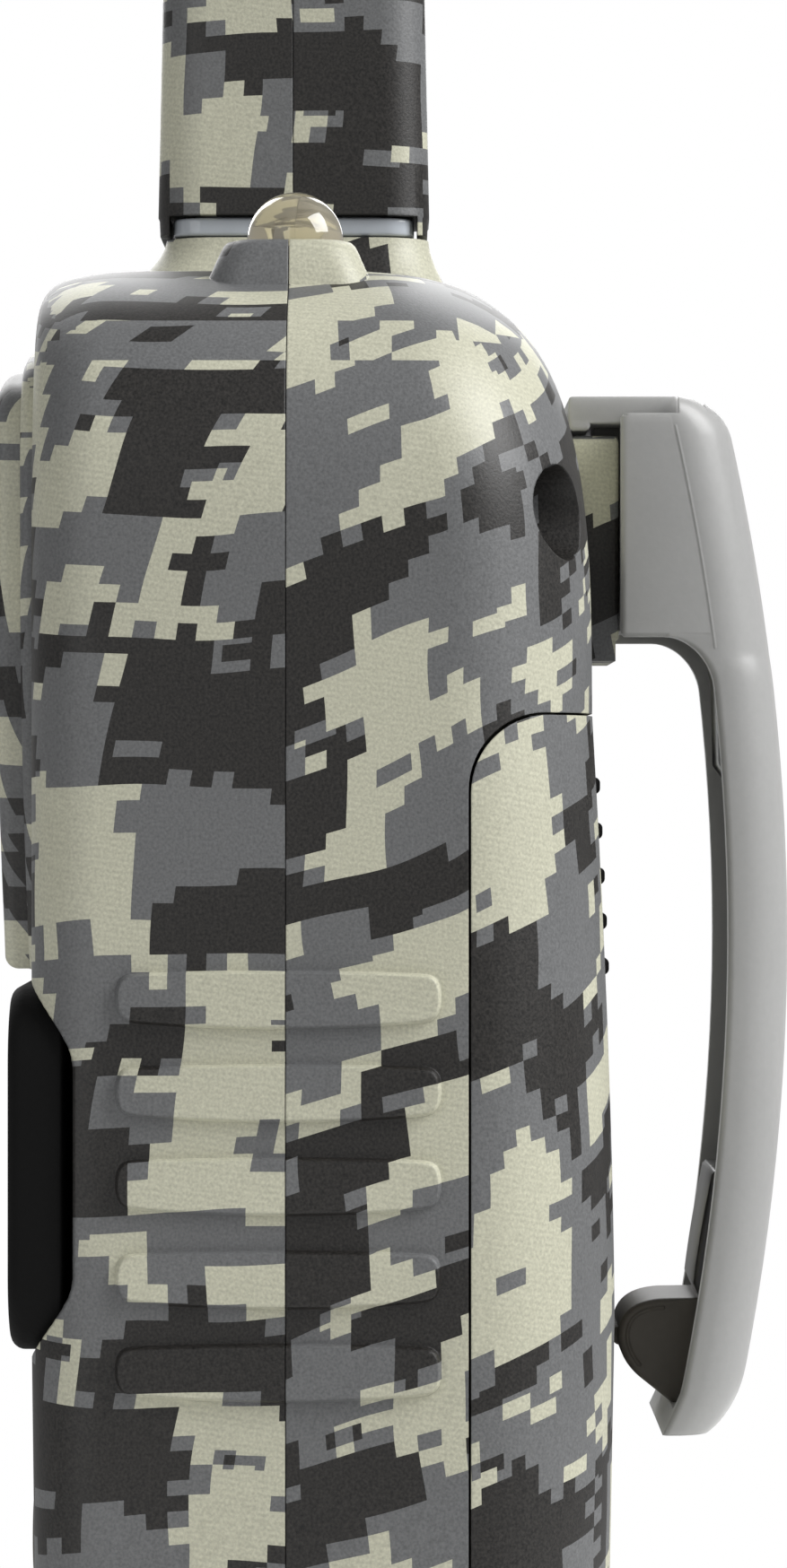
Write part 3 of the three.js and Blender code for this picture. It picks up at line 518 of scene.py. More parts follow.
def rear_shell(whole):
    """The rear half, with the battery bay, the clip's rail and screw posts, less the cover's share."""
    half = common(whole, block(-40, 40, SEAM, 30, -5, 115))
    case = cut(half, cover_zone(COVER_GAP))
    rail_outline = round_rect(RAIL_HALF, (RAIL_HIGH - RAIL_LOW) / 2, 0.5, 0, (RAIL_LOW + RAIL_HIGH) / 2, 5)
    rail = slab(rail_outline, "y", 14, RAIL_Y, 0, 0.25)
    foot = block(-RAIL_HALF, RAIL_HALF, 14, RAIL_Y - 0.2, RAIL_LOW - 1.2, RAIL_LOW + 0.6)
    posts = common(join(*screw_rods(0.3, 25, 3.9, (SCREW_Z,))), body_solid())
    low_posts = screw_rods(0.3, 3, 3, (LOW_SCREW_Z,))
    joined = join(case, battery_bay(), rail, foot, posts, *low_posts)
    return cut(
        joined,
        block(-3, 3, RAIL_Y - 1.2, RAIL_Y + 1, RAIL_LOW + 1.2, RAIL_HIGH + 3),
        block(-4.8, 4.8, RAIL_Y - 2.2, RAIL_Y - 1.1, RAIL_LOW + 1.2, RAIL_HIGH + 3),
        base_tab(0.3),
        *screw_rods(-2, 20, 1.35),
        *screw_rods(6.5, 30, 2.75, (SCREW_Z,)),
    )


RIDGE_COUNT, RIDGE_TOP, RIDGE_PITCH, RIDGE_HALF = 5, 75.9, 2.68, 8.0


def grip_recess(grow):
    """The area of the ridged strip on the cover's back."""
    top = RIDGE_TOP + 1.6 + grow
    bottom = RIDGE_TOP - (RIDGE_COUNT - 1) * RIDGE_PITCH - 1.6 - grow
    outline = round_rect(RIDGE_HALF + grow, (top - bottom) / 2, 1.2, 0, (top + bottom) / 2, 6)
    return slab(outline, "y", 5, 40)


def battery_cover():
    """The casing's skin in the cover's zone, thinned under the ridged strip."""
    skin = common(cut(body_solid(), body_solid(WALL)), cover_zone())
    return cut(skin, cut(grip_recess(0.12), body_solid(0.75)))


def cover_grip():
    """A thin strip that follows the cover's back, with its ridges."""
    strip = common(cut(body_solid(0.12), body_solid(0.65)), grip_recess(-0.05))
    ridges = []
    for i in range(RIDGE_COUNT):
        z = RIDGE_TOP - i * RIDGE_PITCH
        outline = round_rect(0.6, 0.5, 0.34, body_at(z)[2] - 0.05, z, 6)
        ridges.append(slab(outline, "x", -RIDGE_HALF + 0.6, RIDGE_HALF - 0.6, 0.35, 0.35, 4))
    return join(strip, *ridges)


SLOT_COUNT, SLOT_PITCH, SLOT_FIELD = 7, 3.2, 12.5


def speaker_panel():
    """The raised panel, with slots whose ends lie on a circle."""
    face = slab(shield(), "y", -13.85, PANEL_FACE, 0, 0.8, 7)
    slots = []
    for i in range(SLOT_COUNT):
        dz = (i - (SLOT_COUNT - 1) / 2) * SLOT_PITCH
        half = math.sqrt(SLOT_FIELD**2 - dz**2)
        slots.append(slab(round_rect(half, 0.8, 0.75, 0, SPEAKER_Z + dz, 5), "y", -10, -20))
    return cut(face, *slots)


# ---- Controls ----
def talk_button():
    """A broad key with a shallow recess in its face, on three stems."""
    cap = slab(TALK_OUTLINE, "y", TALK_HIGH[1] - 4.3, TALK_LOW[1], 0.2, 0.8, 7)
    face = TALK_LOW[1]
    recess = slab(lambda grow: TALK_OUTLINE(grow - 2.2), "y", face - 1, face + 0.4, 0, 0.35, 5)
    ends = ((-STEM_X, -8.2), (STEM_X, -8.2), (0, -9.6))
    stems = [rod("y", (x, 0, TALK_Z), -12.6, end, 2) for x, end in ends]
    return join(cut(cap, recess), *stems)


def call_button():
    """A small oval key with a flange behind the shell and a stem."""
    cap = slab(CALL_OUTLINE, "y", -12.2, CALL_LOW[1], 0, 0.8, 6)
    flange = slab(lambda g: CALL_OUTLINE(1 + g), "y", -11.5, -12.4)
    return join(cap, flange, rod("y", (0, 0, CALL_Z), -11.6, -9.6, 1.5))


def power_slider():
    """A ridged thumb piece on the far side, with the plate that holds it in."""
    y, z = (SLIDER_LOW[1] + SLIDER_HIGH[1]) / 2, (SLIDER_LOW[2] + SLIDER_HIGH[2]) / 2
    cap = slab(round_rect(2.2, 2.7, 0.5, y, z, 5), "x", -28.2, -29.1, 0.1, 0.3, 4)
    ridges = []
    for dz in (-1.6, 0, 1.6):
        ridges.append(slab(round_rect(1.9, 0.28, 0.26, y, z + dz, 5), "x", -29.0, -29.42, 0, 0.15, 4))
    neck_part = block(-28.3, -25.9, y - 1.45, y + 1.45, z - 2, z + 2)
    plate = block(-26, -25.2, y - 2.6, y + 2.6, z - 4.4, z + 4.4)
    return join(cap, neck_part, plate, *ridges)


# ---- Antenna and lamp ----
def antenna_ring(z, inset, low=0.0):
    """The tapering antenna's cross-section, drawn in by inset, and by low without smaller corners."""
    t = max((z - ANTENNA_BASE) / (ANTENNA_TOP - ANTENNA_BASE), 0)
    k = 1 - 0.143 * t
    corner = (max(2.6 * k - inset, 0.5), max(3 * k - inset, 0.5))
    x, y = 6 * k - inset - low, 8.45 * k - inset - low
    return ring(z, ANTENNA_X, x, ANTENNA_Y - y, ANTENNA_Y + y, corner, corner, 10)


def antenna_half(side):
    """One hollow half of the antenna, with its rounded tip and waisted foot."""
    crown = 2.6
    turn = np.linspace(0, math.pi / 2, 10)
    shaft = [(z, 0.0) for z in np.linspace(ANTENNA_BASE, ANTENNA_TOP - crown, 14)]
    dome = [(ANTENNA_TOP - crown + crown * math.sin(t), 2.4 * (1 - math.cos(t))) for t in turn[1:]]
    rings = [antenna_ring(ANTENNA_BASE - 1.15, 0.12), antenna_ring(ANTENNA_BASE - 0.15, 0.08)]
    rings += [antenna_ring(z, 0, low) for z, low in shaft + dome]
    void = loft([antenna_ring(ANTENNA_BASE - 2, 1.5), antenna_ring(ANTENNA_TOP - 3.2, 1.5)])
    waist = block(-40, 10, ANTENNA_Y - 7.7, ANTENNA_Y + 7.7, ANTENNA_BASE - 3, ANTENNA_BASE)
    y0, y1 = sorted((ANTENNA_Y + side * SEAM, ANTENNA_Y + side * 30))
    return common(cut(loft(rings), void, waist), block(-40, 10, y0, y1, 100, 180))


def antenna_collar():
    """The ring between neck and antenna, with the spigots that hold it in both."""
    def part(z0, z1, x, y, edge=0.0):
        outline = round_rect(x, y, 1.8, ANTENNA_X, ANTENNA_Y, 8)
        return slab(outline, "z", z0, z1, edge, edge)

    base = ANTENNA_BASE
    return join(
        part(NECK_TOP + 0.15, base - 0.15, 5.5, 7.5, 0.2),
        part(97.4, 98.7, 5.8, 8.2),
        part(98.6, NECK_TOP + 0.3, 4.4, 6.7),
        part(base - 0.3, base + 9, 3.9, 6.3),
    )


def lamp():
    """The clear dome on its flange."""
    turn = np.linspace(0, math.pi / 2, 18)
    dome = [(LAMP_R * math.cos(t), LAMP_Z + LAMP_R * math.sin(t)) for t in turn]
    profile = [(0, 98.9), (3.6, 98.9), (3.6, 99.8), (LAMP_R, 99.8)] + dome
    return turned(profile, "z", (LAMP_X, LAMP_Y, 0))


# ---- Belt clip ----
BOW_Y, BOW_Z, BOW_SPREAD, BOW_DEPTH = ARM_HIGH[1], 67.0, 265.0, 3.65
ARM_HALF = ARM_HIGH[0]
ARM_RIM, ARM_WEB, ARM_EDGE = 1.5, 1.7, 3.4
CHEEK_LOW, CHEEK_HIGH, CHEEK_FRONT, CHEEK_SWEEP = 84.7, 97.9, 19.45, 3
CROWN_START = 96.5
LID_FRONT, LID_EDGE = 16.4, 22.9
FOOT_HALF, NIB_HALF, TONGUE_HALF = 4.6, 3.4, 5.5


def arm_outer(z):
    """How far back the bowed arm's outer face lies at a height."""
    return BOW_Y - (z - BOW_Z) ** 2 / BOW_SPREAD


def arm_ring(z):
    """The clip arm's cross-section. Its ends are rounded towards the outer side."""
    tip = min(max(0, (41.4 - z) / 4.2), 0.985)
    crown = min(max(0, (z - CROWN_START) / 2.54), 0.985)
    sweep = min(max(0, (z - CHEEK_LOW + CHEEK_SWEEP) / CHEEK_SWEEP), 1)
    cheek = 2.6 * (1 - math.sqrt(1 - sweep**2))
    y0 = arm_outer(z) - BOW_DEPTH - cheek - 0.25 * max(0, 40 - z)
    y1 = arm_outer(z) - 2.5 * (1 - math.sqrt(1 - tip**2)) - 2.3 * (1 - math.sqrt(1 - crown**2))
    edge = min(ARM_EDGE, (y1 - y0) * 0.8)
    return ring(z, 0, ARM_HALF, y0, y1, (0.45, 0.4), (edge, edge), 12, crease=0.07)


def clip_arm():
    """Bowed arm with a channel inside, cheeks that hold the pin, and a fine ridge down each side."""
    quarter = np.linspace(0, math.pi / 2, 12)
    tip = ARM_LOW[2] + 0.45 + 4 * (1 - np.cos(quarter))
    crown = CROWN_START + (ARM_HIGH[2] - CROWN_START) * np.sin(quarter)
    sweep = CHEEK_LOW - CHEEK_SWEEP + CHEEK_SWEEP * np.sin(np.linspace(0, math.pi / 2, 14))
    levels = np.concatenate([tip, np.linspace(43, 80, 18), sweep, np.linspace(86.5, 95.5, 7), crown])
    arm = loft([arm_ring(z) for z in levels])
    edge = 0.2
    cheek_levels = (
        (CHEEK_LOW, edge), (CHEEK_LOW + edge, 0), (91, 0), (CHEEK_HIGH - edge, 0), (CHEEK_HIGH, edge),
    )
    cheek_rings = []
    for z, inset in cheek_levels:
        back = arm_outer(z) - ARM_EDGE - 0.1
        half = ARM_HALF - inset
        cheek_rings.append(ring(z, 0, half, CHEEK_FRONT + inset, back, (0.35, 0.35), (0.05, 0.05), 5))
    between = ARM_HALF - ARM_RIM
    channel = loft([
        ring(z, 0, between, 15, arm_outer(z) - ARM_WEB, (0.3, 0.3), (1, 1), 5)
        for z in np.concatenate([np.linspace(39, 96, 24), [100]])
    ])
    ridges = []
    for side in (-1, 1):
        x = side * (ARM_HALF - 0.03)
        path = [(x, arm_outer(z) - ARM_EDGE + 0.05, z) for z in np.linspace(84, 97.2, 16)]
        ridges.append(wire(path, 0.065, 8))
    lid_space = block(-ARM_HALF - 1, ARM_HALF + 1, 15, LID_EDGE - 0.05, CHEEK_HIGH, 101)
    swing = block(-between, between, 15, 24.5, 96.9, 101)
    crest = block(-between, between, 24, 30, 98.6, 101)
    pin_hole = rod("x", (0, PIN_Y, PIN_Z), -8.7, 8.7, 1.1)
    return join(cut(join(arm, loft(cheek_rings)), channel, lid_space, swing, crest, pin_hole), *ridges)


def clip_foot():
    """The dark pad at the arm's tip, with a fine rim, a nib, and a tongue up inside the arm."""
    shoulder = curve((22.2, 45.25), (19.5, 45.1), (19.45, 43.0))
    chin = curve((19.45, 43.0), (19.5, 41.6), (20.7, 40.55))
    nose = np.vstack([[(22.7, 38.95), (23.6, 38.95), (25.6, 45.3)], shoulder, chin, [(20.7, 40.55)]])
    outline = free_outline(nose)
    pad = slab(outline, "x", -FOOT_HALF, FOOT_HALF, 0.4, 0.4, 6)
    inner = outline(-0.55)[3:-2]
    rims = [wire([(side * (FOOT_HALF - 0.02), y, z) for y, z in inner], 0.11, 8) for side in (-1, 1)]
    # The tongue fills the shaded strip up inside the arm; the foot's material paints it darker as painted
    # shade.
    tongue_side = np.vstack([
        [(25.7, 45.0), (26.75, 52.6), (26.6, 52.9), (25.2, 52.9)],
        curve((25.0, 52.7), (24.3, 49.4), (23.9, 46.2), steps=10),
        [(23.9, 46.2), (24.4, 45.0)],
    ])
    tongue = slab(free_outline(tongue_side), "x", -TONGUE_HALF, TONGUE_HALF, 0.25, 0.25, 3)
    nib = slab(round_rect(0.62, 0.58, 0.5, 19.75, 42.9, 6), "x", -NIB_HALF, NIB_HALF, 0.2, 0.2, 3)
    return join(pad, tongue, nib, *rims)


def clip_bracket():
    """The clip's base: plate, lid with a lip, the tongue in the rail, and two eyes for the pin."""
    half, _, top = BRACKET_HIGH
    plate = block(-half, half, 19.6, 21.3, 85.2, 97.6)
    depth, middle = (LID_EDGE - LID_FRONT) / 2, (LID_EDGE + LID_FRONT) / 2
    lid_outline = round_rect(depth, 0.8, 0.25, middle, top - 0.8, 4)
    lid = slab(lid_outline, "x", -half, half, 0.12, 0.12, 3)
    lip = slab(round_rect(0.65, 0.9, 0.3, 17.05, 97.9, 4), "x", -half, half, 0.2, 0.2, 3)
    tongue = join(block(-2.75, 2.75, 18.05, 19.7, 86.1, 97.5), block(-4.5, 4.5, 17.4, 18.1, 86.1, 96.6))
    eyes = []
    for side in (-1, 1):
        x0, x1 = sorted((side * 3.5, side * 7.2))
        web = block(x0, x1, 20, PIN_Y, PIN_Z - 2, PIN_Z + 2)
        eyes.append(join(rod("x", (0, PIN_Y, PIN_Z), x0, x1, 2), web))
    window = block(-3.3, 3.3, 19.8, 24, PIN_Z - 2.6, PIN_Z + 2.6)
    return cut(join(plate, lid, lip, tongue, *eyes), rod("x", (0, PIN_Y, PIN_Z), -9, 9, 1.1), window)


def clip_spring():
    """Five turns round the pin and a leg that lies along the arm."""
    t = np.linspace(0, 1, 150)
    a = t * 10 * math.pi - math.pi / 2
    coil = np.column_stack([-2.6 + 5.2 * t, PIN_Y + 1.6 * np.cos(a), PIN_Z + 1.6 * np.sin(a)])
    leg = [
        (2.6, PIN_Y + 0.6, PIN_Z - 1.9), (2.6, 25.1, 83.6), (2.6, 25.42, 82.2), (2.6, 25.5, 79.6),
        (2.6, 25.55, 77.2), (2.6, 26.2, 76.3), (2.6, 27.0, 75.9),
    ]
    return wire(np.vstack([coil, leg]), 0.38)


# ---- Screws and cells ----
def case_screw(x, z, seat):
    """A pan-head case screw with a cross recess."""
    turn = np.linspace(0, math.pi / 2, 7)
    head = [(1.3 + math.cos(t), seat + 0.6 + math.sin(t)) for t in turn]
    threads = []
    for i in range(int((seat + 7) / 0.8)):
        threads += [(1.0, -7 + 0.8 * i), (1.15, -6.6 + 0.8 * i)]
    profile = [(0.4, -7)] + threads + [(1.0, seat - 0.02), (2.3, seat)] + head + [(0, seat + 1.6)]
    screw = turned(profile, "y", (x, 0, z), 36)
    slots = [block(x - w, x + w, seat + 0.7, seat + 3, z - h, z + h) for w, h in ((1.5, 0.28), (0.28, 1.5))]
    return cut(screw, *slots)


def battery(x):
    """A dry cell with its two end faces, sleeve edges and button."""
    bottom, top = CELL_LOW[2], CELL_HIGH[2]
    y = (CELL_LOW[1] + CELL_HIGH[1]) / 2
    r = (CELL_HIGH[0] - CELL_LOW[0]) / 2
    profile = [
        (0, bottom), (3.4, bottom), (3.6, bottom + 0.25), (4.6, bottom + 0.3), (r - 0.1, bottom + 0.45),
        (r, bottom + 0.8), (r, top - 1.5), (r - 0.15, top - 1.1), (4.2, top - 0.95), (3.6, top - 1.25),
        (1.95, top - 1.25), (1.9, top - 0.2), (1.7, top), (0, top),
    ]
    return turned(profile, "z", (x, y, 0), 64)


# ---- Where the print lies on each piece ----
def wrap(points, side, sizes, front, rear, full):
    """Distance round a rounded box from its parting plane. full is that distance to each end's middle."""
    x, y, _ = points.T
    w, f, r = sizes
    out = np.abs(x)
    around = y.copy()
    for way, depth, corner, length in ((-1, f, front, full[0]), (1, r, rear, full[1])):
        straight = depth - corner[1]
        past = y * way > straight
        round_x = np.maximum((out - w + corner[0]) / corner[0], 0)
        turn = np.arctan2((y * way - straight) / corner[1], round_x)
        corner_end = length - w + corner[0]
        beyond = straight + turn / (math.pi / 2) * (corner_end - straight)
        beyond = beyond + np.maximum(w - corner[0] - out, 0) + np.maximum(y * way - depth, 0)
        around = np.where(past, way * beyond, around)
    far = np.where(around < 0, -2 * full[0] - around, 2 * full[1] - around)
    return np.where(side < 0, far, around)


def end_length(width, depth, corner):
    """Distance from the parting plane round one corner to the middle of an end."""
    return depth - corner[1] + (corner[0] + corner[1]) / 2 * math.pi / 2 + width - corner[0]


TIP = 0.05
RISE = np.linspace(0, HEIGHT - TIP, 1500)
BODY_LENGTHS = (
    end_length(HALF_WIDTH, FRONT_DEPTH, (FRONT_CORNER, FRONT_CORNER)),
    end_length(HALF_WIDTH, REAR_DEPTH, REAR_CORNER),
)
STAND_LIFT, NECK_LIFT = 40, 60
PRINT_REACH = 0.9
TOP_START, TOP_EDGE, FAR_SIDE = 96, 97.0, 90
RECESS_RADIUS, RECESS_FLOOR = 3.4, 6


def climbed(z, which):
    """Distance climbed over the body's side (0), front (1) or back (2) up to a height."""
    depth = body_at(RISE)[which]
    steps = np.hypot(np.diff(RISE), np.where(RISE[1:] > 50, np.diff(depth), 0))
    return np.interp(z, RISE, np.concatenate([[0], np.cumsum(steps)]))


def body_print(points, side, normals, middles):
    """Round the body and up over its dome, then round the neck and the lamp stand in their own ranges."""
    z = np.clip(points[:, 2], 0, HEIGHT - TIP)
    w, f, r = body_at(z)
    front, rear = body_corners(w, f, r)
    around = wrap(points, side, (w, f, r), front, rear, BODY_LENGTHS)
    y = points[:, 1]
    to_front = np.clip((-y - f + front[1]) / front[1], 0, 1)
    to_back = np.clip((y - r + rear[1]) / rear[1], 0, 1)
    up = climbed(z, 0)
    up = up + (climbed(z, 1) - up) * to_front**2
    up = up + (climbed(z, 2) - up) * to_back**2
    flat_top = (normals[:, 2] > 0.7) & (middles[:, 2] > TOP_START)
    around = np.where(flat_top, y + np.where(side < 0, FAR_SIDE, 0), around)
    over_top = climbed(TOP_EDGE, 0) + body_at(TOP_EDGE)[0] - np.abs(points[:, 0])
    up = np.where(flat_top, over_top, up)

    surface = np.interp(np.abs(middles[:, 0]), body_at(RISE)[0][::-1], RISE[::-1])
    raised = (middles[:, 2] > surface + 0.15) & (middles[:, 2] > 100)
    end_on = np.abs(normals[:, 1]) > np.abs(normals[:, 0])
    centre = np.where(side < 0, ANTENNA_X, LAMP_X)
    across = np.sign(y) * (np.abs(y) + 6 - (points[:, 0] - centre))
    around = np.where(raised, np.where(end_on, across, y), around)
    up = np.where(raised, points[:, 2] + np.where(side < 0, NECK_LIFT, STAND_LIFT), up)
    return around, up


def antenna_print(points, side, normals, middles):
    """Round the antenna and plainly up it."""
    moved = points - (ANTENNA_X, ANTENNA_Y, 0)
    corner = (2.6, 3.0)
    length = end_length(6.0, 8.45, corner)
    return wrap(moved, side, (6.0, 8.45, 8.45), corner, corner, (length, length)), points[:, 2]


def panel_print(points, side, normals, middles):
    """Straight across the speaker panel and up it."""
    return points[:, 0] + side * (points[:, 1] - PANEL_FACE), points[:, 2]


def unprinted(middles):
    """True on the rear half's faces that lie inside its walls, apart from the upper screw recesses."""
    x, y, z = np.abs(middles[:, 0]), middles[:, 1], middles[:, 2]
    w, f, r = body_at(np.clip(z, 0, HEIGHT - TIP))
    corner_x, corner_y = body_corners(w, f, r)[1]
    across, along = np.maximum(x - w + corner_x, 0), np.maximum(y - r + corner_y, 0)
    reach = PRINT_REACH / np.minimum(corner_x, corner_y)
    inside = np.hypot(across / corner_x, along / corner_y) < 1 - reach
    in_recess = (np.hypot(x - SCREW_X, z - SCREW_Z) < RECESS_RADIUS) & (y > RECESS_FLOOR)
    return inside & ~in_recess & (y > 0) & (z > PRINT_REACH) & (z < HEIGHT - PRINT_REACH)


def lay_print(obj, layout, middle):
    """Splits obj along its middle and stores, corner by corner, where the print lies and where not."""
    bm = bmesh.new()
    bm.from_mesh(obj.data)
    parts = bm.verts[:] + bm.edges[:] + bm.faces[:]
    bmesh.ops.bisect_plane(bm, geom=parts, plane_co=(middle * MM, 0, 0), plane_no=(1, 0, 0), dist=1e-7)
    bm.to_mesh(obj.data)
    bm.free()
    mesh = obj.data
    corners = []
    for face in mesh.polygons:
        corners += [(mesh.vertices[i].co[:], face.normal[:], face.center[:]) for i in face.vertices]
    points, normals, middles = np.array(corners).transpose(1, 0, 2)
    side = np.where(middles[:, 0] / MM > middle, 1, -1)
    around, height = layout(points / MM, side, normals, middles / MM)
    attribute = mesh.attributes.new("print", "FLOAT_VECTOR", "CORNER")
    bare = unprinted(middles / MM).astype(float)
    attribute.data.foreach_set("vector", np.column_stack([around, height, bare]).ravel())
    return obj


# ---- Materials ----
def colour(red, green, blue):
    """Linear colour from the 0-255 values seen on screen."""
    def linear(value):
        value /= 255
        return value / 12.92 if value <= 0.04045 else ((value + 0.055) / 1.055) ** 2.4

    return (linear(red), linear(green), linear(blue), 1)


class Nodes:
    """Builds a material's node tree from short calls."""

    def __init__(self, name):
        self.material = bpy.data.materials.new(name)
        self.material.use_nodes = True
        self.tree = self.material.node_tree
        self.tree.nodes.clear()

    def add(self, kind, inputs=(), output=0, **settings):
        node = self.tree.nodes.new(kind)
        for key, value in settings.items():
            setattr(node, key, value)
        for key, value in dict(inputs).items():
            if isinstance(value, bpy.types.NodeSocket):
                self.tree.links.new(value, node.inputs[key])
            else:
                node.inputs[key].default_value = value
        return node.outputs[output] if node.outputs else None

    def math(self, operation, *values, clamp=False):
        return self.add("ShaderNodeMath", enumerate(values), operation=operation, use_clamp=clamp)

    def vector(self, operation, *values, output=0):
        return self.add("ShaderNodeVectorMath", enumerate(values), output, operation=operation)

    def mix(self, amount, a, b, mode="MIX"):
        return self.add("ShaderNodeMix", {0: amount, 6: a, 7: b}, 2, data_type="RGBA", blend_type=mode)

    def blend(self, amount, a, b):
        return self.add("ShaderNodeMix", {0: amount, 2: a, 3: b}, 0, data_type="FLOAT")

    def noise(self, at, scale, detail=2.0, offset=(0.0, 0.0, 0.0)):
        moved = self.vector("ADD", at, offset)
        return self.add("ShaderNodeTexNoise", {"Vector": moved, "Scale": scale, "Detail": detail})

    def about(self, noise, amount, base):
        """base, moved up and down by a noise."""
        return self.math("MULTIPLY_ADD", self.math("SUBTRACT", noise, 0.5), amount, base)

    def place(self):
        """The piece's own rest position, in millimetres."""
        position = self.add("ShaderNodeTexCoord", output=3)
        return self.vector("MULTIPLY", position, (1000, 1000, 1000))

    def tinted(self, base, factor):
        """base multiplied by a grey factor."""
        grey = self.add("ShaderNodeCombineColor", {0: factor, 1: factor, 2: factor})
        return self.mix(1.0, base, grey, "MULTIPLY")

    def finish(self, base, roughness, height=None, depth=0.03, bevel=0.15, **inputs):
        """The surface and output. height is turned into bumps of the given depth in millimetres."""
        normal = self.add("ShaderNodeBevel", {"Radius": bevel * MM}, samples=4)
        if height is not None:
            settings = {"Strength": 1.0, "Distance": depth * MM, "Height": height, "Normal": normal}
            normal = self.add("ShaderNodeBump", settings)
        given = {"Base Color": base, "Roughness": roughness, "Normal": normal}
        given.update({key.replace("_", " "): value for key, value in inputs.items()})
        shader = self.add("ShaderNodeBsdfPrincipled", given)
        self.add("ShaderNodeOutputMaterial", {"Surface": shader})
        return self.material


LIGHT_TONE = colour(192, 191, 171)
MID_TONE = colour(106, 107, 108)
DARK_TONE = colour(37, 35, 33)
BARE_TONE = colour(128, 127, 116)
CELL = (1.15, 0.95, 1.0)
DASH = (2.3, 0.95, 1.0)
BEND_START = 75.0
TONES = {"light": 0.85, "mid": 0.5, "dark": 0.15}


def camouflage(name, seed, lean=0.0, rise=0.0, bend=0.0, patches=(), flat=False):
    """A printed square-edged camouflage. lean, rise and bend shear it.

    A patch is its place round the body, its height, its two radii and its tone. flat says that
    a height is a plain height, not one to be followed over the dome.
    """
    n = Nodes(name)
    spot = n.add("ShaderNodeAttribute", output=1, attribute_name="print")
    sway = n.add("ShaderNodeTexNoise", {"Vector": spot, "Scale": 0.07, "Detail": 1.0}, 1)
    swayed = n.vector("MULTIPLY_ADD", sway, (3.0, 2.2, 0.0), spot)
    over_bend = n.vector("MULTIPLY_ADD", spot, (0.0, 1.0, 0.0), (0.0, -BEND_START, 0.0))
    above = n.vector("MAXIMUM", over_bend, (0.0, 0.0, 0.0))
    bent = n.vector("DOT_PRODUCT", n.vector("MULTIPLY", above, above), (1.0, bend, 0.0), output=1)
    x_part = n.math("ADD", bent, n.vector("DOT_PRODUCT", swayed, (1.0, lean, 0.0), output=1))
    y_part = n.vector("DOT_PRODUCT", swayed, (rise, 1.0, 0.0), output=1)
    sheared = n.add("ShaderNodeCombineXYZ", {0: x_part, 1: y_part})
    cell = n.vector("SNAP", sheared, CELL)
    dash = n.vector("SNAP", n.vector("ADD", sheared, (0.6, 0.3, 0.0)), DASH)

    broad = n.noise(cell, 0.11, 1.0, (seed, seed * 1.7, 0.0))
    small = n.noise(cell, 0.3, 1.5, (seed * 2.3, seed, 5.0))
    value = n.math("MULTIPLY_ADD", broad, 2.3, -0.65)
    value = n.about(small, 1.5, value)
    ragged = n.about(small, 2.2, -1.22)
    for around, height, radius_x, radius_y, tone in patches:
        scale = (1 / radius_x, 1 / radius_y, 0.0)
        height = height if flat or height > HEIGHT else float(climbed(height, 0))
        lifted = bend * max(height - BEND_START, 0) ** 2
        middle = (around + lean * height + lifted + 1.0, height + rise * around + 0.6, 0.0)
        shifted = (-middle[0] / radius_x, -middle[1] / radius_y, 0.0)
        distance = n.vector("LENGTH", n.vector("MULTIPLY_ADD", cell, scale, shifted), output=1)
        inside = n.math("MULTIPLY", n.math("ADD", distance, ragged), -5.0, clamp=True)
        value = n.blend(inside, value, TONES[tone])
    odd = n.add("ShaderNodeTexWhiteNoise", {"Vector": n.vector("ADD", dash, (seed, 0.0, 0.0))})
    value = n.math("MULTIPLY_ADD", n.math("GREATER_THAN", odd, 0.985), 0.3, value)
    value = n.math("MULTIPLY_ADD", n.math("LESS_THAN", odd, 0.02), -0.3, value)

    bare = n.add("ShaderNodeSeparateXYZ", {"Vector": spot}, 2)
    has_print = n.math("SUBTRACT", 1.0, bare)
    is_light = n.math("MULTIPLY", n.math("GREATER_THAN", value, 0.64), has_print)
    is_dark = n.math("MULTIPLY", n.math("LESS_THAN", value, 0.37), has_print)
    tone = n.mix(is_light, n.mix(is_dark, MID_TONE, DARK_TONE), LIGHT_TONE)
    tone = n.mix(bare, tone, BARE_TONE)
    weave = n.math("SINE", n.vector("DOT_PRODUCT", spot, (2.4, 17.0, 0.0), output=1))
    at = n.place()
    mottle = n.noise(at, 6.0, 3.0)
    cloud = n.noise(at, 0.05, 1.0)
    contrast = n.math("MULTIPLY_ADD", is_dark, 2.6, n.math("MULTIPLY_ADD", is_light, -0.3, 1.0))
    shade = n.about(mottle, contrast, 1.0)
    shade = n.about(cloud, 0.3, shade)
    shade = n.math("MULTIPLY_ADD", n.math("MULTIPLY", weave, is_light), 0.035, shade)
    roughness = n.math("MULTIPLY_ADD", mottle, 0.16, 0.36)
    return n.finish(n.tinted(tone, shade), roughness, mottle, 0.014)


def plastic(name, base, roughness, grain=1.2, vary=0.12, depth=0.02, **inputs):
    """Moulded plastic: a fine grain, slow clouding and a faint polish difference."""
    n = Nodes(name)
    at = n.place()
    fine = n.noise(at, grain, 4.0)
    cloud = n.noise(at, 0.06, 2.0, (7.0, 3.0, 1.0))
    shade = n.about(fine, vary, 1.0)
    shade = n.about(cloud, vary * 1.4, shade)
    polish = n.about(cloud, 0.12, roughness)
    return n.finish(n.tinted(base, shade), polish, fine, depth, **inputs)


def metal(name, base, roughness, streak=(0.2, 0.2, 2.0)):
    """Metal with drawn streaks and slight tarnish."""
    n = Nodes(name)
    at = n.place()
    lines = n.noise(n.vector("MULTIPLY", at, streak), 3.0, 3.0)
    tarnish = n.noise(at, 0.4, 3.0, (2.0, 9.0, 4.0))
    shade = n.about(tarnish, 0.35, 1.0)
    rough = n.math("MULTIPLY_ADD", lines, 0.25, roughness)
    return n.finish(n.tinted(base, shade), rough, lines, 0.01, Metallic=1.0)


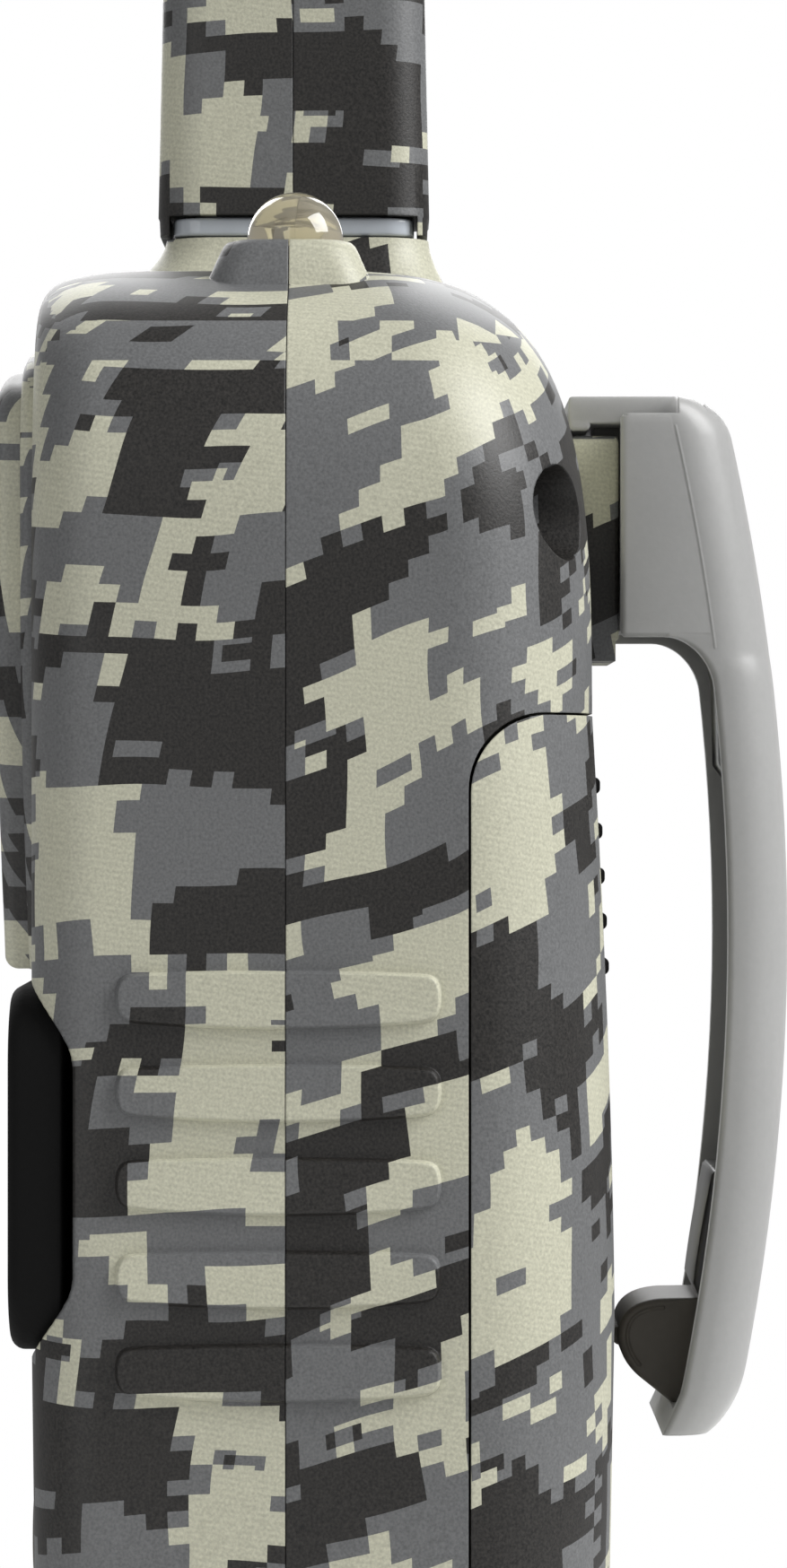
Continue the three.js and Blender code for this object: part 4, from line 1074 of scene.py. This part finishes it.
def clear_lens():
    """Warm clear moulding with faint flow marks."""
    n = Nodes("clear_lens")
    at = n.place()
    flow = n.noise(at, 0.35, 2.0)
    tint = n.mix(flow, colour(250, 244, 222), colour(232, 218, 184))
    return n.finish(
        tint, 0.06, flow, 0.05, bevel=0.05,
        IOR=1.46, Transmission_Weight=0.82, Coat_Weight=0.6, Coat_Roughness=0.03,
    )


def board_mask():
    """Green solder mask over faint copper tracks."""
    n = Nodes("board_mask")
    at = n.place()
    square = n.vector("SNAP", at, (0.8, 5.0, 1.6))
    track = n.add("ShaderNodeTexWhiteNoise", {"Vector": square})
    on_track = n.math("GREATER_THAN", track, 0.6)
    grain = n.noise(at, 0.8, 3.0)
    base = n.mix(on_track, colour(26, 84, 52), colour(46, 116, 70))
    shade = n.about(grain, 0.2, 1.0)
    return n.finish(n.tinted(base, shade), 0.4, on_track, 0.03, bevel=0.05)


def pressed_paper():
    """Dark pressed paper with fibres and rings."""
    n = Nodes("pressed_paper")
    at = n.place()
    centred = n.vector("MULTIPLY_ADD", at, (1.0, 0.0, 1.0), (0.0, 0.0, -SPEAKER_Z))
    radius = n.vector("LENGTH", centred, output=1)
    rings = n.math("SINE", n.math("MULTIPLY", radius, 5.0))
    fibre = n.noise(at, 2.5, 4.0)
    shade = n.about(fibre, 0.6, 1.0)
    height = n.math("MULTIPLY_ADD", rings, 0.25, fibre)
    return n.finish(n.tinted(colour(52, 48, 45), shade), 0.9, height, 0.08)


def cell_film():
    """A cell's printed sleeve: a plain band in two tones with a thin line between."""
    n = Nodes("cell_film")
    at = n.place()
    height = n.vector("DOT_PRODUCT", at, (0.0, 0.0, 1.0), output=1)
    split = CELL_HIGH[2] - 14
    upper = n.math("GREATER_THAN", height, split)
    line = n.math("LESS_THAN", n.math("ABSOLUTE", n.math("SUBTRACT", height, split)), 0.4)
    bare = n.math("GREATER_THAN", height, CELL_HIGH[2] - 1.3)
    foot = n.math("LESS_THAN", height, CELL_LOW[2] + 0.4)
    band = n.mix(upper, colour(58, 72, 96), colour(190, 186, 172))
    film = n.mix(line, band, colour(214, 212, 204))
    metal_part = n.math("MAXIMUM", bare, foot)
    scuff = n.noise(at, 0.7, 4.0)
    shade = n.about(scuff, 0.25, 1.0)
    base = n.tinted(n.mix(metal_part, film, colour(178, 178, 176)), shade)
    return n.finish(base, n.math("MULTIPLY_ADD", scuff, 0.2, 0.22), scuff, 0.02, Metallic=metal_part)


def foot_plastic_tongue_shade():
    """The foot's dark plastic, with a polished sliver of tongue above it; the tongue's darker colour is
    painted shade, standing for the shade up inside the arm.
    """
    n = Nodes("foot_plastic_tongue_shade")
    at = n.place()
    height = n.vector("DOT_PRODUCT", at, (0.0, 0.0, 1.0), output=1)
    upper = n.math("GREATER_THAN", height, 45.3)
    grain = n.noise(at, 1.6, 4.0)
    shade = n.about(grain, 0.22, 1.0)
    # Above 45.3 mm the colour is darker: painted shade on the tongue, where it sits in the arm's shaded
    # channel.
    base = n.mix(upper, colour(84, 79, 72), colour(48, 47, 47))
    rough = n.blend(upper, 0.5, 0.28)
    return n.finish(n.tinted(base, shade), rough, grain, 0.02)


FRONT_PATCHES = (
    (-12.4, 103, 3, 1.6, "light"), (-5, 103.4, 6, 1.8, "mid"), (-7, 100.8, 7, 1.2, "dark"),
    (-8.4, 98.8, 3.6, 1.2, "mid"), (-6.8, 95.4, 7, 4.2, "dark"), (-2.4, 95.6, 2, 0.8, "light"),
    (-12.6, 98, 2.6, 2.6, "mid"), (-12.6, 92.6, 2.4, 3, "light"), (-2, 91.8, 2.4, 2, "light"),
    (-11.6, 88.6, 3.6, 2.6, "mid"), (-2.4, 88.6, 2.8, 2, "mid"), (-5, 88.4, 1.2, 2.6, "dark"),
    (-12.4, 85.6, 1.9, 2.4, "light"), (-5.6, 80.6, 6.8, 5.6, "dark"), (-3.4, 83.4, 1.3, 0.9, "mid"),
    (-12.4, 79, 2, 3.4, "mid"), (-11.6, 71.7, 3.4, 4.2, "light"), (-5, 72.6, 4.6, 3.2, "mid"),
    (-4.5, 67.7, 5, 2.2, "dark"), (-3, 64.4, 4.2, 1.4, "light"), (-11.4, 64.5, 3, 3, "mid"),
    (-8, 61.4, 2.4, 1.4, "dark"), (-4.6, 58.4, 5, 1.8, "light"), (-9, 57.4, 2.2, 1.8, "mid"),
    (-10.6, 54, 2.4, 2.2, "dark"), (-5.6, 53.6, 3, 1.4, "light"), (-3, 50.4, 6, 1.6, "mid"),
    (-1.9, 47.7, 2.2, 1.7, "light"), (-6, 44.4, 6, 2.2, "dark"), (-12, 47, 2, 3, "mid"),
    (-5, 40.2, 3.6, 1.8, "light"), (-10.6, 38.4, 4, 3, "dark"), (-1.6, 39, 1.6, 2.4, "light"),
    (-3.4, 33.8, 3, 1.7, "light"), (-9.4, 33, 2.4, 2, "mid"),
    (-2, 105 + STAND_LIFT, 6, 6, "mid"), (-8, 106 + NECK_LIFT, 9, 8, "light"),
)
REAR_PATCHES = (
    (4.4, 94.2, 5.6, 5.6, "mid"), (3, 100.4, 3.4, 2.2, "light"), (9, 101.4, 2.6, 3, "mid"),
    (11.6, 99.4, 2.2, 2.6, "light"), (5.4, 90.4, 1.8, 1.2, "light"), (7.3, 92.2, 1.9, 1.5, "light"),
    (9.6, 94.4, 2, 1.9, "light"), (12, 96.6, 2.2, 2, "light"), (6.6, 88.4, 3.2, 1.5, "dark"),
    (2.4, 86.2, 3.6, 2.2, "dark"), (10, 86, 3.6, 3.2, "mid"), (1.6, 81, 2.6, 4, "dark"),
    (5.8, 81, 3.4, 2.2, "light"), (11.6, 82.4, 3, 2, "mid"), (6.4, 77.4, 3.4, 2.4, "light"),
    (4, 74, 2.4, 2.4, "light"), (1.4, 74.4, 1.8, 3, "dark"), (3.2, 77.6, 1.1, 0.7, "dark"),
    (8.8, 73.4, 2.4, 3, "mid"), (5.2, 69.4, 5.4, 1.5, "dark"), (2.4, 66, 2.6, 2.2, "mid"),
    (6.4, 63.4, 4, 2.8, "light"), (6.8, 59.8, 3, 1.3, "dark"), (2, 60, 2.4, 3, "mid"),
    (8, 55.6, 3, 2.4, "light"), (3.4, 54.4, 3.2, 2.6, "dark"), (8.4, 50, 3, 2.2, "mid"),
    (2.4, 48.6, 2.4, 2.6, "dark"), (7, 45.4, 3.4, 2.4, "dark"), (2.6, 42, 3, 2.6, "mid"),
    (7.4, 39.8, 2.2, 1.6, "light"), (4, 36.4, 4, 2.6, "dark"), (8, 34.4, 2.4, 1.8, "mid"),
    (35, 94.5, 4, 3.6, "light"), (35, 88, 4, 2.6, "dark"),
    (2, 105 + STAND_LIFT, 6, 6, "light"), (7, 106 + NECK_LIFT, 5, 6, "light"),
    (3.5, 107 + NECK_LIFT, 2, 4, "dark"),
)
COVER_PATCHES = (
    (17, 76, 3, 3, "mid"), (17, 68, 3, 4, "mid"), (17, 60, 3, 3, "dark"),
    (13.6, 72, 3.4, 5, "light"), (12.8, 63, 3.6, 4.2, "dark"), (13, 56.6, 3, 3, "mid"),
    (14, 53.6, 2, 1.6, "light"), (13.4, 47.6, 4, 4, "light"), (14, 40, 4, 3, "mid"), (13, 34, 3, 3, "dark"),
)
ANTENNA_FRONT_PATCHES = (
    (-4.8, 116, 3.6, 4.2, "light"), (-3.0, 121.2, 3.8, 2.0, "dark"), (-3.8, 124, 2.6, 1.4, "light"),
    (-1.2, 114.6, 1.4, 3.4, "mid"), (-3.2, 112.2, 3, 1, "dark"), (-6, 120, 1.4, 2, "mid"),
)
ANTENNA_REAR_PATCHES = (
    (3.8, 114.6, 5, 4.4, "dark"), (5, 122.4, 3, 2.6, "mid"), (1.4, 123.8, 2, 2, "mid"),
    (2.8, 119.4, 3.6, 3, "dark"),
)

PRINT = {
    "front_shell": camouflage("print_front", 3.1, lean=-0.08, bend=-0.009, patches=FRONT_PATCHES),
    "rear_shell": camouflage("print_rear", 11.7, lean=0.06, rise=-0.34, patches=REAR_PATCHES),
    "battery_cover": camouflage("print_cover", 21.3, lean=0.04, rise=-0.3, patches=COVER_PATCHES),
    "speaker_panel": camouflage("print_panel", 33.9, lean=0.1),
    "antenna_front": camouflage("print_antenna_front", 41.3, patches=ANTENNA_FRONT_PATCHES, flat=True),
    "antenna_rear": camouflage("print_antenna_rear", 57.1, patches=ANTENNA_REAR_PATCHES, flat=True),
}
GREY = plastic(
    "grey_plastic", colour(164, 164, 163), 0.34, grain=2.2, vary=0.1, depth=0.008,
    Subsurface_Weight=0.35, Subsurface_Scale=0.003, Subsurface_Radius=(1.0, 1.0, 1.0),
    Sheen_Weight=0.5, Sheen_Roughness=0.4,
)
DARK = plastic("dark_plastic", colour(74, 70, 66), 0.5, grain=2.6, vary=0.2, depth=0.02)
BLACK = plastic("black_plastic", colour(38, 38, 40), 0.55, grain=2.4, vary=0.25, depth=0.02)
RUBBER = plastic(
    "black_rubber", colour(9, 9, 9), 0.75, grain=3.0, vary=0.3, depth=0.03, Specular_IOR_Level=0.18
)
GLOSS = plastic(
    "gloss_grey", colour(186, 192, 200), 0.12, grain=0.8, vary=0.16, depth=0.01, Coat_Weight=0.5
)
STEEL = metal("plated_steel", colour(186, 187, 188), 0.24)
ALUMINIUM = metal("can_aluminium", colour(205, 205, 205), 0.3, (2.0, 2.0, 0.2))
COPPER = metal("enamelled_wire", colour(176, 104, 62), 0.22, (1.0, 1.0, 1.0))
LENS = clear_lens()
BOARD = board_mask()
PAPER = pressed_paper()
FILM = cell_film()
FOOT = foot_plastic_tongue_shade()


# ---- The visible pieces ----
shell = casing()
spare_shell = shell.copy()
spare_shell.data = shell.data.copy()
bpy.context.scene.collection.objects.link(spare_shell)


def printed(obj, name, body, node, layout=body_print, middle=0):
    """Lays the print on a finished solid and puts it on its body."""
    lay_print(obj, layout, middle)
    return piece(obj, name, body, [node], PRINT[node], 32.0)


printed(front_shell(shell), "shell_front", "case", "front_shell")
printed(rear_shell(spare_shell), "shell_rear", "case", "rear_shell")
printed(battery_cover(), "cover", "cover", "battery_cover")
printed(speaker_panel(), "panel", "case", "speaker_panel", panel_print)
printed(antenna_half(-1), "antenna_half_front", "case", "antenna_front", antenna_print, ANTENNA_X)
printed(antenna_half(1), "antenna_half_rear", "case", "antenna_rear", antenna_print, ANTENNA_X)
piece(cover_grip(), "cover_ridges", "cover", ["cover_grip"], RUBBER)
piece(talk_button(), "talk_key", "talk", ["talk_button"], RUBBER)
piece(call_button(), "call_key", "call", ["call_button"], DARK)
piece(power_slider(), "power_knob", "power", ["power_slider"], DARK)
piece(antenna_collar(), "collar", "case", ["antenna_collar"], GLOSS)
piece(lamp(), "lamp_dome", "case", ["lamp"], LENS)
piece(clip_bracket(), "clip_base_plate", "clip_base", ["clip_bracket"], GREY)
piece(clip_arm(), "clip_lever_arm", "clip_lever", ["clip_arm"], GREY, 30.0)
piece(clip_foot(), "clip_pad", "clip_lever", ["clip_foot"], FOOT)
piece(clip_spring(), "torsion_spring", "clip_lever", ["clip_spring"], STEEL, 60.0)
pin = rod("x", (0, PIN_Y, PIN_Z), PIN_LOW[0], PIN_HIGH[0], 1.0)
piece(pin, "hinge_pin", "clip_base", ["clip_pin"], STEEL)
SCREW_PLACES = ((-1, SCREW_Z), (1, SCREW_Z), (-1, LOW_SCREW_Z), (1, LOW_SCREW_Z))
for index, (side, row) in enumerate(SCREW_PLACES, 1):
    seat = 6.6 if row == SCREW_Z else 4.0
    screw = case_screw(side * SCREW_X, row, seat)
    piece(screw, f"screw_{index}", "case", [f"case_screw_{index}"], STEEL, 40.0)
for index in (1, 2, 3):
    low, high = low_high(f"battery_{index}")
    cell = battery((low[0] + high[0]) / 2)
    piece(cell, f"cell_{index}", "case", [f"battery_{index}"], FILM)

KEPT_NODES = (
    (STEEL, "talk_button_clip_left talk_button_clip_right power_switch radio_can speaker_frame"),
    (STEEL, "battery_spring_1 battery_spring_2 battery_spring_3 battery_contact"),
    (BLACK, "talk_switch call_switch audio_chip"),
    (ALUMINIUM, "capacitor microphone"),
    (BOARD, "circuit_board"), (PAPER, "speaker_cone"), (DARK, "speaker_magnet"), (COPPER, "antenna_coil"),
)
for finish, names in KEPT_NODES:
    for name in names.split():
        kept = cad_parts[name]
        kept.data.materials.clear()
        kept.data.materials.append(finish)


# ---- Stage, light and camera ----
FLOOR_RADIUS, FLOOR_SIDES, FADE_START, FADE_LENGTH = 190, 120, 110.0, 75.0


def floor():
    """A pale disc that fades out towards its edge."""
    n = Nodes("floor")
    at = n.place()
    grain = n.noise(at, 0.5, 3.0)
    shade = n.about(grain, 0.02, 1.0)
    radius = n.vector("LENGTH", at, output=1)
    fade = n.math("DIVIDE", n.math("SUBTRACT", radius, FADE_START), FADE_LENGTH, clamp=True)
    settings = {"Base Color": n.tinted(colour(238, 238, 237), shade), "Roughness": 0.7}
    surface = n.add("ShaderNodeBsdfPrincipled", settings)
    clear = n.add("ShaderNodeBsdfTransparent")
    eased = n.math("SINE", n.math("MULTIPLY", fade, math.pi / 2))
    mixed = n.add("ShaderNodeMixShader", {0: eased, 1: surface, 2: clear})
    n.add("ShaderNodeOutputMaterial", {"Surface": mixed})
    a = np.linspace(0, 2 * math.pi, FLOOR_SIDES, endpoint=False)
    rim = np.column_stack([FLOOR_RADIUS * np.cos(a), FLOOR_RADIUS * np.sin(a), np.full(FLOOR_SIDES, -0.05)])
    disc = solid(rim, [range(FLOOR_SIDES)])
    disc.name = "floor"
    disc.data.materials.append(n.material)


def world_light(strength):
    """White to the camera, softer as a light."""
    world = bpy.data.worlds.new("studio")
    world.use_nodes = True
    tree = world.node_tree
    background = tree.nodes["Background"]
    path = tree.nodes.new("ShaderNodeLightPath")
    level = tree.nodes.new("ShaderNodeMix")
    level.data_type = "FLOAT"
    level.inputs[2].default_value = strength
    level.inputs[3].default_value = 1.0
    tree.links.new(path.outputs["Is Camera Ray"], level.inputs[0])
    tree.links.new(level.outputs[0], background.inputs["Strength"])
    background.inputs["Color"].default_value = (1, 1, 1, 1)
    bpy.context.scene.world = world


def area_light(name, at, target, size, watts):
    """A soft rectangular light aimed at a point."""
    light = bpy.data.lights.new(name, "AREA")
    light.shape = "RECTANGLE"
    light.size, light.size_y = size
    light.energy = watts
    obj = bpy.data.objects.new(name, light)
    obj.location = Vector(at)
    obj.rotation_euler = (Vector(target) - obj.location).to_track_quat("-Z", "Y").to_euler()
    bpy.context.scene.collection.objects.link(obj)


def camera():
    """A long lens level with the toy's upper half, square to its right side."""
    data = bpy.data.cameras.new("camera")
    data.lens = 132.6
    data.sensor_width = 36.0
    data.clip_start = 0.01
    obj = bpy.data.objects.new("camera", data)
    obj.location = (0.35, 0.00602, 0.076)
    obj.rotation_euler = (math.pi / 2, 0, math.pi / 2)
    bpy.context.scene.collection.objects.link(obj)
    bpy.context.scene.camera = obj


floor()
world_light(0.34)
LIGHT_TARGET = (0, 0, 0.08)
area_light("key", (0.16, 0.46, 0.44), LIGHT_TARGET, (0.40, 0.40), 4.2)
area_light("fill", (0.50, -0.30, 0.18), LIGHT_TARGET, (0.40, 0.50), 0.5)
area_light("back", (-0.45, -0.05, 0.36), LIGHT_TARGET, (0.50, 0.40), 2.2)
camera()
bpy.context.scene.view_settings.view_transform = "Standard"
